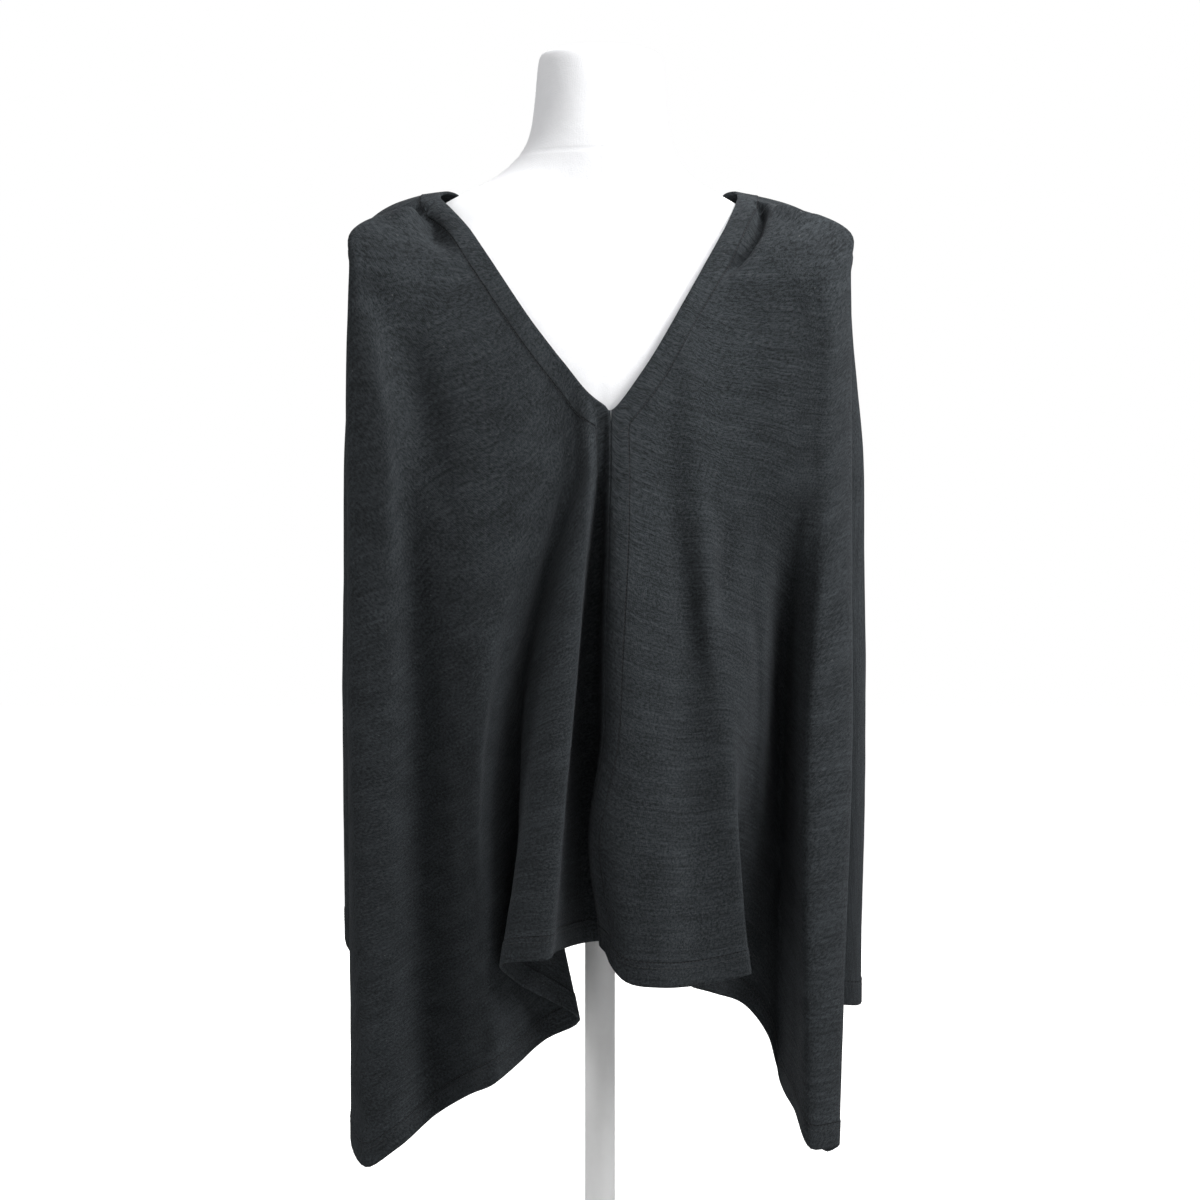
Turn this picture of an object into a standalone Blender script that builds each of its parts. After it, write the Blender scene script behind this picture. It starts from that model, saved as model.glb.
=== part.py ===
"""A knitted poncho worn by a limbless dress form on a short stand.

Metres, +Z up, the front faces -Y, and the origin is the middle of the base's underside.

The poncho is cut as two long panels. Each runs from the front hem over one shoulder to the back hem.
Their inner edges are joined down the middle of the front and of the back, and open in a V at the neck.
The cloth is built as a ring of fold lines. Each line starts on the neck edge, lies over the shoulder
or the chest, and then falls past the waist to its own place on the hem. A smooth curve through the
lines at each level gives the folds between them.
"""

import math
from typing import NamedTuple

import bpy
import numpy as np

# ---- driving sizes of the cloth ----
CLOTH_THICKNESS = 0.0018
TURNED_EDGE_EXTRA_OUT = 0.0004  # a turned and stitched edge is two layers thick
TURNED_EDGE_EXTRA_IN = 0.0010
NECK_TURNING = 0.017  # width of the stitched turning round the neck
HEM_TURNING = 0.020
TURNING_STEP = 0.0015  # length over which the turning thins to one layer
WIDEST_NECK_TURNING = 0.034  # along a fold line that leaves the neck edge at a slant
EDGE_STEP = 0.01  # share of the neck edge over which its direction is measured
LINE_STEP = 12  # points of a fold line over which its first direction is measured
LEAST_SLANT = 0.1
SEAM_GAP = 0.0003  # between the two panels where they are joined
COLUMN_SPACING = 0.025  # between mesh columns, measured on the hem
LEVELS = 14  # mesh rows between the two turnings
SHOULDER_CROWDING = 0.7  # how much nearer together the rows are over the shoulder
CROWDING_SHARPNESS = 4
ROW_SAMPLES = 400  # points that measure each fold line's length
SAMPLE_CROWDING = 1.6  # how much nearer together they are at the neck edge
SHARP_ANGLE = math.radians(50)

# ---- how the cloth leaves the neck edge ----
FALL_CENTRE = 3.0  # ease-out power at the middle of the front and back
FALL_SHOULDER = {"left": 41.0, "right": 34.0}  # and where the cloth runs out over each shoulder
FALL_SHARPNESS = 12  # how quickly the second takes over from the first along the neck edge
DEPTH_FALL_LEAST = 8.0
LIFT_AT = 0.045  # share of the fall at which a shoulder fold stands highest
TAKE_IN = 0.022  # share by which the cloth is narrower below the shoulder than at the chest
TAKE_IN_HEIGHT = 0.815
SHOULDER_POINT = 0.034  # share by which the form's shoulder end pushes it out again
SHOULDER_POINT_HEIGHT = 0.850
SHOULDER_POINT_REACH = 0.016
SHOULDER_CLEAR = 0.190  # no fold goes in further than this where the form's shoulders are wide


class NeckPoint(NamedTuple):
    """A point of the neck edge, at a share of its way from the front point to the back point."""

    share: float
    height: float
    depth: float
    left: float
    right: float


NECK_EDGE = (
    NeckPoint(share=0.00, height=0.7115, depth=-0.1185, left=0.0087, right=0.0087),
    NeckPoint(share=0.03, height=0.7200, depth=-0.1170, left=-0.0028, right=0.0170),
    NeckPoint(share=0.12, height=0.7520, depth=-0.1090, left=-0.0302, right=0.0392),
    NeckPoint(share=0.25, height=0.8015, depth=-0.0930, left=-0.0665, right=0.0676),
    NeckPoint(share=0.34, height=0.8356, depth=-0.0765, left=-0.0885, right=0.0868),
    NeckPoint(share=0.43, height=0.8740, depth=-0.0440, left=-0.1150, right=0.1065),
    NeckPoint(share=0.47, height=0.8935, depth=-0.0120, left=-0.1320, right=0.1140),
    NeckPoint(share=0.50, height=0.9000, depth=0.0080, left=-0.1290, right=0.1130),
    NeckPoint(share=0.54, height=0.9000, depth=0.0240, left=-0.1195, right=0.1040),
    NeckPoint(share=0.62, height=0.8740, depth=0.0580, left=-0.0980, right=0.0930),
    NeckPoint(share=0.78, height=0.8080, depth=0.0960, left=-0.0600, right=0.0610),
    NeckPoint(share=1.00, height=0.7350, depth=0.1060, left=0.0040, right=0.0040),
)


class FoldLine(NamedTuple):
    """One crest, valley or turn of the cloth, from the neck edge to the hem.

    edge is its start, as a share of the neck edge. It then passes the chest, the waist and the hem
    at the places given. lift raises it on the shoulder, and bulge moves it sideways near the hem.
    shoulder is how far out it hangs below the shoulder, where it differs from the chest, and run is
    how much faster than usual it gets there from the neck edge.
    """

    name: str
    edge: float
    chest_x: float
    chest_y: float
    waist_x: float
    waist_y: float
    hem_x: float
    hem_y: float
    hem_z: float
    lift: float = 0.0
    bulge: float = 0.0
    shoulder: float = 0.0
    run: float = 1.0


CHEST_HEIGHT = 0.66
WAIST_HEIGHT = 0.46

F = FoldLine
# name, edge, chest_x, chest_y, waist_x, waist_y, hem_x, hem_y, hem_z, lift, bulge, shoulder, run
FRONT_SEAM = F("front_seam", 0.00, 0.0080, -0.1290, 0.0040, -0.1380, 0.0010, -0.1150, 0.2825, bulge=-0.011)
BACK_SEAM = F("back_seam", 1.00, 0.0040, 0.1090, 0.0040, 0.1120, 0.0040, 0.1120, 0.3000)

# from the front seam over the left shoulder to the back seam
LEFT_FOLDS = (
    F("valley_right", 0.014, 0.0045, -0.1060, -0.0030, -0.0900, -0.0040, -0.0870, 0.2845),
    F("valley_left", 0.026, 0.0005, -0.1050, -0.0155, -0.0890, -0.0200, -0.0860, 0.2830),
    F("roll_face", 0.036, -0.0010, -0.1180, -0.0225, -0.1160, -0.0355, -0.1150, 0.2780),
    F("roll_crest", 0.049, -0.0050, -0.1320, -0.0330, -0.1510, -0.0490, -0.1530, 0.2710),
    F("roll_edge", 0.067, -0.0095, -0.1300, -0.0565, -0.1390, -0.0760, -0.1310, 0.2610),
    F("tuck_front", 0.082, -0.0120, -0.1220, -0.0620, -0.1190, -0.0560, -0.0960, 0.2380),
    F("tuck_turn", 0.096, -0.0170, -0.1150, -0.0665, -0.1010, -0.0165, -0.0640, 0.2210, bulge=0.010),
    F("tuck_back", 0.111, -0.0260, -0.1150, -0.0745, -0.1020, -0.0430, -0.0500, 0.2030),
    F("tuck_side", 0.145, -0.0400, -0.1200, -0.0880, -0.1170, -0.0770, -0.0840, 0.1735),
    F("inner_crest", 0.22, -0.0820, -0.1260, -0.1050, -0.1270, -0.1120, -0.0980, 0.1590),
    F("soft_valley", 0.35, -0.1570, -0.1130, -0.1520, -0.1010, -0.1400, -0.0780, 0.1400, run=1.3),
    F("outer_crest", 0.41, -0.1760, -0.1090, -0.1760, -0.1090, -0.1690, -0.0980, 0.1160, shoulder=0.190, run=1.5),
    F("front_tip", 0.445, -0.2015, -0.0860, -0.1990, -0.0910, -0.1885, -0.0910, 0.1059, 0.005, 0, 0.2065, 2.1),
    F("front_turn", 0.458, -0.2020, -0.0650, -0.2015, -0.0700, -0.2010, -0.0720, 0.1300, 0.003, 0, 0.2065, 1.7),
    F("return_front", 0.468, -0.1800, -0.0500, -0.1620, -0.0560, -0.1450, -0.0560, 0.1850, -0.003, 0, 0.2030, 1.3),
    F("side_inner_front", 0.477, -0.1640, -0.0380, -0.1370, -0.0400, -0.1050, -0.0400, 0.2150, -0.005, 0, 0.2020, 1.1),
    F("return_side", 0.485, -0.1820, -0.0260, -0.1620, -0.0250, -0.1450, -0.0230, 0.2450, -0.001, 0, 0.2045),
    F("flap_front", 0.493, -0.2020, -0.0200, -0.2060, -0.0190, -0.2060, -0.0200, 0.2700, 0.002, 0, 0.2085),
    F("flap_middle", 0.503, -0.2125, -0.0020, -0.2140, 0.0000, -0.2110, 0.0000, 0.2870, 0.005, 0, 0.2115),
    F("flap_back", 0.513, -0.2020, 0.0180, -0.2060, 0.0200, -0.2060, 0.0220, 0.2750, 0.006, 0, 0.2085),
    F("side_return", 0.525, -0.1830, 0.0260, -0.1640, 0.0280, -0.1450, 0.0290, 0.2550, 0.004, 0, 0.2050),
    F("side_inner_back", 0.537, -0.1660, 0.0390, -0.1370, 0.0430, -0.1050, 0.0440, 0.2250, 0.006, 0, 0.2030),
    F("return_back", 0.55, -0.1820, 0.0540, -0.1620, 0.0580, -0.1480, 0.0590, 0.1850, 0.008, 0, 0.2030),
    F("back_turn", 0.565, -0.2000, 0.0700, -0.2010, 0.0780, -0.2000, 0.0820, 0.1500, 0.006, 0, 0.2040),
    F("back_tip", 0.585, -0.1970, 0.0920, -0.1970, 0.1020, -0.1880, 0.1060, 0.1400, 0.003, 0, 0.2010),
    F("back_outer_valley", 0.65, -0.1680, 0.1000, -0.1600, 0.0880, -0.1520, 0.0840, 0.1800),
    F("back_outer_crest", 0.72, -0.1300, 0.1220, -0.1280, 0.1440, -0.1260, 0.1620, 0.2050),
    F("back_inner_valley", 0.80, -0.0920, 0.1040, -0.0930, 0.0880, -0.0920, 0.0760, 0.2380),
    F("back_inner_crest", 0.88, -0.0560, 0.1220, -0.0600, 0.1460, -0.0620, 0.1640, 0.2660),
    F("back_seam_valley", 0.95, -0.0220, 0.1070, -0.0260, 0.0980, -0.0290, 0.0930, 0.2860),
)

# from the front seam over the right shoulder to the back seam
RIGHT_FOLDS = (
    F("band_crest", 0.04, 0.0250, -0.1320, 0.0200, -0.1440, 0.0150, -0.1360, 0.2590, bulge=-0.010),
    F("front_crest", 0.12, 0.0430, -0.1270, 0.0460, -0.1400, 0.0475, -0.1440, 0.2552),
    F("shallow_valley", 0.18, 0.0590, -0.1220, 0.0700, -0.1280, 0.0820, -0.1290, 0.2560),
    F("fold_edge", 0.24, 0.0820, -0.1240, 0.0990, -0.1280, 0.1200, -0.1220, 0.2634),
    F("tuck_front", 0.275, 0.0960, -0.1200, 0.1110, -0.1180, 0.0960, -0.1000, 0.2560),
    F("tuck_turn", 0.295, 0.1060, -0.1170, 0.1190, -0.1060, 0.0740, -0.0840, 0.2496),
    F("tuck_back", 0.315, 0.1170, -0.1140, 0.1260, -0.0980, 0.0930, -0.0690, 0.2420),
    F("valley_front", 0.34, 0.1310, -0.1100, 0.1345, -0.0960, 0.1190, -0.0680, 0.2290),
    F("valley_middle", 0.365, 0.1440, -0.1080, 0.1450, -0.0720, 0.1390, -0.0560, 0.2010),
    F("dark_valley", 0.39, 0.1580, -0.1060, 0.1570, -0.0710, 0.1510, -0.0620, 0.1650, run=1.2),
    F("side_front_crest", 0.43, 0.1850, -0.1040, 0.1820, -0.1120, 0.1735, -0.1040, 0.1225, shoulder=0.194, run=1.5),
    F("front_edge", 0.452, 0.2025, -0.0840, 0.2015, -0.0900, 0.1925, -0.0870, 0.1220, 0.005, 0, 0.2065, 2.1),
    F("front_tip", 0.463, 0.2015, -0.0620, 0.1985, -0.0660, 0.1820, -0.0680, 0.1151, 0.001, 0, 0.2065, 1.7),
    F("return_front", 0.472, 0.1800, -0.0460, 0.1600, -0.0490, 0.1650, -0.0470, 0.1850, -0.004, 0, 0.2040, 1.3),
    F("side_inner_front", 0.481, 0.1610, -0.0340, 0.1318, -0.0345, 0.1300, -0.0350, 0.2400, -0.005, 0, 0.2035, 1.1),
    F("return_side", 0.489, 0.1830, -0.0200, 0.1600, -0.0190, 0.1560, -0.0170, 0.2280, -0.003, 0, 0.2060),
    F("flap_front", 0.498, 0.2090, -0.0100, 0.2130, -0.0090, 0.2130, -0.0070, 0.2250, 0.000, 0, 0.2085),
    F("flap_middle", 0.508, 0.2200, 0.0100, 0.2215, 0.0130, 0.2170, 0.0180, 0.2260, 0.002, 0, 0.2115),
    F("flap_back", 0.52, 0.2080, 0.0290, 0.2120, 0.0330, 0.2120, 0.0390, 0.2220, 0.003, 0, 0.2090),
    F("side_return", 0.531, 0.1860, 0.0370, 0.1630, 0.0410, 0.1560, 0.0460, 0.2250, 0.004, 0, 0.2070),
    F("side_inner_back", 0.542, 0.1630, 0.0490, 0.1320, 0.0520, 0.1150, 0.0550, 0.2380, 0.005, 0, 0.2040),
    F("return_back", 0.555, 0.1820, 0.0620, 0.1620, 0.0660, 0.1560, 0.0700, 0.1850, 0.006, 0, 0.2040),
    F("back_turn", 0.57, 0.2000, 0.0760, 0.2010, 0.0840, 0.2000, 0.0900, 0.1420, 0.005, 0, 0.2040),
    F("back_tip", 0.59, 0.1960, 0.0960, 0.1950, 0.1080, 0.1870, 0.1160, 0.1300, 0.003, 0, 0.2000),
    F("back_outer_valley", 0.65, 0.1600, 0.0990, 0.1500, 0.0860, 0.1400, 0.0790, 0.2060),
    F("back_outer_crest", 0.72, 0.1190, 0.1240, 0.1120, 0.1490, 0.1060, 0.1680, 0.2380),
    F("back_inner_valley", 0.80, 0.0810, 0.1030, 0.0780, 0.0870, 0.0760, 0.0740, 0.2620),
    F("back_inner_crest", 0.88, 0.0460, 0.1210, 0.0460, 0.1430, 0.0470, 0.1620, 0.2840),
    F("back_seam_valley", 0.95, 0.0230, 0.1080, 0.0220, 0.1000, 0.0220, 0.0960, 0.2950),
)

# ---- dress form and stand ----
FORM_SEGMENTS = 36
FORM_ROUNDNESS = 2.3  # superellipse power of the torso's sections
NECK_ROUNDNESS = 2.0
NECK_FROM = 0.905
POLE_RADIUS = 0.0125
POLE_CLEARANCE = 0.0003
SOCKET_DEPTH = 0.035
BASE_RADIUS = 0.150
BASE_THICKNESS = 0.012
BASE_EDGE = 0.003
COLLAR_RADIUS = 0.023
COLLAR_HEIGHT = 0.026
COLLAR_EDGE = 0.0015
ROUND_SEGMENTS = 40


class FormSection(NamedTuple):
    """A level section of the dress form. shift moves its middle sideways."""

    height: float
    half_width: float
    front: float
    back: float
    shift: float = 0.0


FORM_SECTIONS = (
    FormSection(height=0.4200, half_width=0.1300, front=0.0740, back=0.0760),
    FormSection(height=0.4260, half_width=0.1360, front=0.0790, back=0.0810),
    FormSection(height=0.4600, half_width=0.1330, front=0.0800, back=0.0810),
    FormSection(height=0.5100, half_width=0.1200, front=0.0790, back=0.0740),
    FormSection(height=0.5700, half_width=0.1240, front=0.0870, back=0.0780),
    FormSection(height=0.6300, half_width=0.1380, front=0.0990, back=0.0880),
    FormSection(height=0.6700, half_width=0.1480, front=0.1040, back=0.0930),
    FormSection(height=0.7100, half_width=0.1580, front=0.1040, back=0.0970),
    FormSection(height=0.7600, half_width=0.1690, front=0.0980, back=0.0950),
    FormSection(height=0.8000, half_width=0.1770, front=0.0860, back=0.0870),
    FormSection(height=0.8300, half_width=0.1780, front=0.0740, back=0.0760),
    FormSection(height=0.8500, half_width=0.1700, front=0.0630, back=0.0650, shift=-0.0020),
    FormSection(height=0.8650, half_width=0.1550, front=0.0550, back=0.0560, shift=-0.0040),
    FormSection(height=0.8770, half_width=0.1388, front=0.0513, back=0.0510, shift=-0.0066),
    FormSection(height=0.8880, half_width=0.1232, front=0.0493, back=0.0490, shift=-0.0086),
    FormSection(height=0.8970, half_width=0.1065, front=0.0475, back=0.0495, shift=-0.0080),
    FormSection(height=0.9090, half_width=0.0825, front=0.0490, back=0.0510, shift=-0.0060),
    FormSection(height=0.9230, half_width=0.0690, front=0.0505, back=0.0525, shift=-0.0030),
    FormSection(height=0.9380, half_width=0.0590, front=0.0520, back=0.0530, shift=-0.0010),
    FormSection(height=0.9600, half_width=0.0555, front=0.0520, back=0.0520),
    FormSection(height=0.9900, half_width=0.0530, front=0.0515, back=0.0510),
    FormSection(height=1.0080, half_width=0.0515, front=0.0505, back=0.0500),
    FormSection(height=1.0130, half_width=0.0490, front=0.0480, back=0.0475),
    FormSection(height=1.0150, half_width=0.0430, front=0.0420, back=0.0415),
    FormSection(height=1.0175, half_width=0.0300, front=0.0295, back=0.0290),
)
CROWN_HEIGHT = 1.0190


def clear_scene():
    """Removes whatever the file opened with."""
    for obj in list(bpy.data.objects):
        bpy.data.objects.remove(obj)


def material(name, colour, roughness):
    """A plain finish for one kind of part."""
    made = bpy.data.materials.new(name)
    made.use_nodes = True
    shader = made.node_tree.nodes["Principled BSDF"]
    shader.inputs["Base Color"].default_value = (*colour, 1.0)
    shader.inputs["Roughness"].default_value = roughness
    shader.inputs["Metallic"].default_value = 0.0
    return made


def tangents(knots, values, closed):
    """Slopes for a smooth curve through values at uneven knots, along the first axis."""
    if closed:
        before, after = np.roll(values, 1, axis=0), np.roll(values, -1, axis=0)
        step = np.diff(knots)
        step_after, step_before = step, np.roll(step, 1)
        shape = (-1,) + (1,) * (values.ndim - 1)
        step_after, step_before = step_after.reshape(shape), step_before.reshape(shape)
        slope_after = (after - values) / step_after
        slope_before = (values - before) / step_before
        return (slope_after * step_before + slope_before * step_after) / (step_before + step_after)
    return np.gradient(values, knots, axis=0)


def smooth_curve(knots, values, at):
    """Values of a smooth open curve through the rows of a table, at the given places."""
    slopes = tangents(knots, values, closed=False)
    index = np.clip(np.searchsorted(knots, at, side="right") - 1, 0, len(knots) - 2)
    step = (knots[index + 1] - knots[index])[:, None]
    t = ((at - knots[index])[:, None]) / step
    return hermite(t, step, values[index], values[index + 1], slopes[index], slopes[index + 1])


def hermite(t, step, start, end, start_slope, end_slope):
    """A cubic from start to end with the given slopes."""
    return (
        (2 * t**3 - 3 * t**2 + 1) * start
        + (t**3 - 2 * t**2 + t) * step * start_slope
        + (3 * t**2 - 2 * t**3) * end
        + (t**3 - t**2) * step * end_slope
    )


def neck_point(share, side):
    """Place of the neck edge at a share of its way, on the left or right panel."""
    knots = np.array([row.share for row in NECK_EDGE])
    places = np.array([(getattr(row, side), row.depth, row.height) for row in NECK_EDGE])
    return smooth_curve(knots, places, np.array([share]))[0]


def hanging_place(fold, z, near_shoulder):
    """Place of a fold line at the heights z, as it hangs: through the chest, waist and hem."""
    knots = np.array([fold.hem_z, WAIST_HEIGHT, CHEST_HEIGHT])
    places = np.array([
        (fold.hem_x, fold.hem_y), (fold.waist_x, fold.waist_y), (fold.chest_x, fold.chest_y),
    ])
    slopes = np.gradient(places, knots, axis=0)
    slopes[-1] *= 1 - near_shoulder
    at = np.clip(z, fold.hem_z, CHEST_HEIGHT)
    index = np.clip(np.searchsorted(knots, at, side="right") - 1, 0, 1)
    step = (knots[index + 1] - knots[index])[:, None]
    t = (at - knots[index])[:, None] / step
    hanging = hermite(t, step, places[index], places[index + 1], slopes[index], slopes[index + 1])
    low = np.clip((WAIST_HEIGHT - z) / (WAIST_HEIGHT - fold.hem_z), 0.0, 1.0)
    hanging[:, 0] += fold.bulge * (4 * low * (1 - low)) ** 2
    high = np.clip((z - CHEST_HEIGHT) / (TAKE_IN_HEIGHT - CHEST_HEIGHT), 0.0, 1.0)
    rise = high * high * (3 - 2 * high)
    high = near_shoulder * rise
    out = SHOULDER_POINT * np.exp(-(((z - SHOULDER_POINT_HEIGHT) / SHOULDER_POINT_REACH) ** 2))
    if fold.shoulder:
        hanging[:, 0] += rise * math.copysign(fold.shoulder - abs(fold.chest_x), fold.chest_x)
    else:
        hanging[:, 0] += high * math.copysign(max(SHOULDER_CLEAR - abs(fold.chest_x), 0.0), fold.chest_x)
    hanging[:, 0] *= 1 + near_shoulder * out - TAKE_IN * high
    return hanging


def fold_line_curve(fold, side):
    """Points down one fold line, from the neck edge to the hem."""
    start = neck_point(fold.edge, side)
    near_shoulder = math.sin(math.pi * fold.edge) ** FALL_SHARPNESS
    fall = FALL_CENTRE + (FALL_SHOULDER[side] - FALL_CENTRE) * near_shoulder
    fall_x = fall * fold.run
    fall_y = max(fall, DEPTH_FALL_LEAST)
    t = np.linspace(0.0, 1.0, ROW_SAMPLES) ** SAMPLE_CROWDING
    z = start[2] + (fold.hem_z - start[2]) * t
    hanging = hanging_place(fold, z, near_shoulder)
    x = hanging[:, 0] + (start[0] - hanging[0, 0]) * (1 - t) ** fall_x
    y = hanging[:, 1] + (start[1] - hanging[0, 1]) * (1 - t) ** fall_y
    raised = fold.lift * (t / LIFT_AT) * np.exp(1 - t / LIFT_AT)
    return np.stack([x, y, z + raised], axis=1)


def neck_turning(curve, fold, side):
    """Length of the neck turning along a fold line, which is longer where the line leaves at a slant."""
    before, after = max(fold.edge - EDGE_STEP, 0.0), min(fold.edge + EDGE_STEP, 1.0)
    along = neck_point(after, side) - neck_point(before, side)
    down = curve[LINE_STEP] - curve[0]
    cosine = abs(along @ down) / (np.linalg.norm(along) * np.linalg.norm(down))
    sine = math.sqrt(max(1 - cosine**2, LEAST_SLANT**2))
    return min(NECK_TURNING / sine, WIDEST_NECK_TURNING)


def level_points(fold, side):
    """The fold line again, at the mesh rows: neck turning, open cloth, hem turning."""
    curve = fold_line_curve(fold, side)
    run = np.concatenate([[0.0], np.cumsum(np.linalg.norm(np.diff(curve, axis=0), axis=1))])
    neck_end = neck_turning(curve, fold, side)
    hem_start = run[-1] - HEM_TURNING
    crowding = 1 + SHOULDER_CROWDING * math.sin(math.pi * fold.edge) ** CROWDING_SHARPNESS
    share = np.linspace(0.0, 1.0, LEVELS) ** crowding
    first, last = neck_end + TURNING_STEP, hem_start - TURNING_STEP
    places = np.concatenate([[0.0, neck_end], first + (last - first) * share, [hem_start, run[-1]]])
    return np.stack([np.interp(places, run, curve[:, k]) for k in range(3)], axis=1)


def cloth_grid():
    """Outer points of the whole garment as (columns, rows, 3), and the columns of its two seams.

    Columns go round from the front seam over the left shoulder to the back seam, and on over the
    right shoulder to the front seam again.
    """
    lines = [(FRONT_SEAM, "left")]
    lines += [(fold, "left") for fold in LEFT_FOLDS]
    back_at = len(lines)
    lines += [(BACK_SEAM, "left")]
    lines += [(fold, "right") for fold in reversed(RIGHT_FOLDS)]
    points = np.array([level_points(fold, side) for fold, side in lines])
    hem = points[:, -1]
    chord = np.linalg.norm(np.roll(hem, -1, axis=0) - hem, axis=1)
    knots = np.concatenate([[0.0], np.cumsum(np.sqrt(chord))])
    slopes = tangents(knots, points, closed=True)
    columns, seams = [], {}
    for i in range(len(lines)):
        following = (i + 1) % len(lines)
        step = knots[i + 1] - knots[i]
        pieces = max(2, round(chord[i] / COLUMN_SPACING))
        if i in (0, back_at):
            seams[i] = len(columns)
        for piece in range(pieces):
            columns.append(
                hermite(
                    piece / pieces, step, points[i], points[following], slopes[i], slopes[following]
                )
            )
    return np.array(columns), seams[0], seams[back_at]


def cloth_normals(grid):
    """Unit normals of the closed ring of columns, facing outwards."""
    across = np.roll(grid, -1, axis=0) - np.roll(grid, 1, axis=0)
    down = np.gradient(grid, axis=1)
    normal = np.cross(across, down)
    return normal / np.linalg.norm(normal, axis=2, keepdims=True)


def wall_object(name, outer, inner, finish):
    """A closed wall between two grids of points of the same size."""
    columns, rows = outer.shape[:2]
    count = columns * rows
    points = np.concatenate([outer.reshape(-1, 3), inner.reshape(-1, 3)])

    def at(column, row, inside):
        return column * rows + row + (count if inside else 0)

    faces = []
    for c in range(columns - 1):
        for r in range(rows - 1):
            faces.append((at(c, r, 0), at(c + 1, r, 0), at(c + 1, r + 1, 0), at(c, r + 1, 0)))
            faces.append((at(c, r, 1), at(c, r + 1, 1), at(c + 1, r + 1, 1), at(c + 1, r, 1)))
    for c in range(columns - 1):
        faces.append((at(c, 0, 0), at(c, 0, 1), at(c + 1, 0, 1), at(c + 1, 0, 0)))
        last = rows - 1
        faces.append((at(c, last, 0), at(c + 1, last, 0), at(c + 1, last, 1), at(c, last, 1)))
    for r in range(rows - 1):
        faces.append((at(0, r, 0), at(0, r + 1, 0), at(0, r + 1, 1), at(0, r, 1)))
        last = columns - 1
        faces.append((at(last, r, 0), at(last, r, 1), at(last, r + 1, 1), at(last, r + 1, 0)))
    return mesh_object(name, points.tolist(), faces, finish)


def mesh_object(name, points, faces, finish):
    """A smooth-shaded mesh object."""
    mesh = bpy.data.meshes.new(name)
    mesh.from_pydata(points, [], faces)
    mesh.validate()
    mesh.shade_smooth()
    mesh.set_sharp_from_angle(angle=SHARP_ANGLE)
    mesh.materials.append(finish)
    obj = bpy.data.objects.new(name, mesh)
    bpy.context.scene.collection.objects.link(obj)
    return obj


def panel(name, grid, normals, first, last, finish):
    """One panel of the poncho, from one seam column to the other."""
    order = np.arange(first, last + 1) % len(grid)
    outer, normal = grid[order].copy(), normals[order]
    for end, beside in ((0, 1), (-1, -2)):
        inward = outer[beside] - outer[end]
        inward -= (inward * normal[end]).sum(axis=1, keepdims=True) * normal[end]
        outer[end] += inward / np.linalg.norm(inward, axis=1, keepdims=True) * SEAM_GAP / 2
    rows = outer.shape[1]
    turned = np.zeros(rows)
    turned[[0, 1, rows - 2, rows - 1]] = 1.0
    turned = turned[None, :, None]
    inner = outer - normal * (CLOTH_THICKNESS + TURNED_EDGE_EXTRA_IN * turned)
    outer = outer + normal * TURNED_EDGE_EXTRA_OUT * turned
    return wall_object(name, outer, inner, finish)


def poncho(finish):
    """Both panels."""
    grid, front, back = cloth_grid()
    normals = cloth_normals(grid)
    panel("left_panel", grid, normals, front, back, finish)
    panel("right_panel", grid, normals, back, len(grid) + front, finish)


def section_ring(section, roundness):
    """Points round one level section of the dress form."""
    ring = []
    for k in range(FORM_SEGMENTS):
        angle = 2 * math.pi * k / FORM_SEGMENTS
        c, s = math.cos(angle), math.sin(angle)
        depth = section.back if s > 0 else section.front
        x = section.half_width * math.copysign(abs(c) ** (2 / roundness), c)
        y = depth * math.copysign(abs(s) ** (2 / roundness), s)
        ring.append((x + section.shift, y, section.height))
    return ring


def circle_ring(radius, height, segments):
    """Points round a level circle."""
    turn = 2 * math.pi / segments
    return [(radius * math.cos(turn * k), radius * math.sin(turn * k), height) for k in range(segments)]


def loft(name, rings, start_height, end_height, finish):
    """A closed body through level rings, closed by a point on the axis at each end."""
    segments = len(rings[0])
    points = [p for ring in rings for p in ring] + [(0.0, 0.0, start_height), (0.0, 0.0, end_height)]
    first_pole, last_pole = len(points) - 2, len(points) - 1
    faces = []
    for k in range(segments):
        n = (k + 1) % segments
        faces.append((first_pole, n, k))
        for r in range(len(rings) - 1):
            low, high = r * segments, (r + 1) * segments
            faces.append((low + k, low + n, high + n, high + k))
        top = (len(rings) - 1) * segments
        faces.append((top + k, top + n, last_pole))
    return mesh_object(name, points, faces, finish)


def dress_form(finish):
    """The covered torso with its neck, and a socket in its underside for the pole."""
    floor = FORM_SECTIONS[0].height
    socket = POLE_RADIUS + POLE_CLEARANCE
    rings = [
        circle_ring(socket, floor + SOCKET_DEPTH, FORM_SEGMENTS),
        circle_ring(socket, floor, FORM_SEGMENTS),
    ]
    for section in FORM_SECTIONS:
        roundness = NECK_ROUNDNESS if section.height > NECK_FROM else FORM_ROUNDNESS
        rings.append(section_ring(section, roundness))
    return loft("dress_form", rings, floor + SOCKET_DEPTH, CROWN_HEIGHT, finish)


def stand_pole(finish):
    """The pole between the base's collar and the form's socket."""
    low = BASE_THICKNESS + POLE_CLEARANCE
    high = FORM_SECTIONS[0].height + SOCKET_DEPTH - POLE_CLEARANCE
    bpy.ops.mesh.primitive_cylinder_add(
        vertices=ROUND_SEGMENTS // 2, radius=POLE_RADIUS, depth=high - low, location=(0, 0, (high + low) / 2)
    )
    pole = bpy.context.active_object
    pole.name = "stand_pole"
    pole.data.materials.append(finish)
    pole.data.shade_smooth()
    pole.data.set_sharp_from_angle(angle=SHARP_ANGLE)


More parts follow.
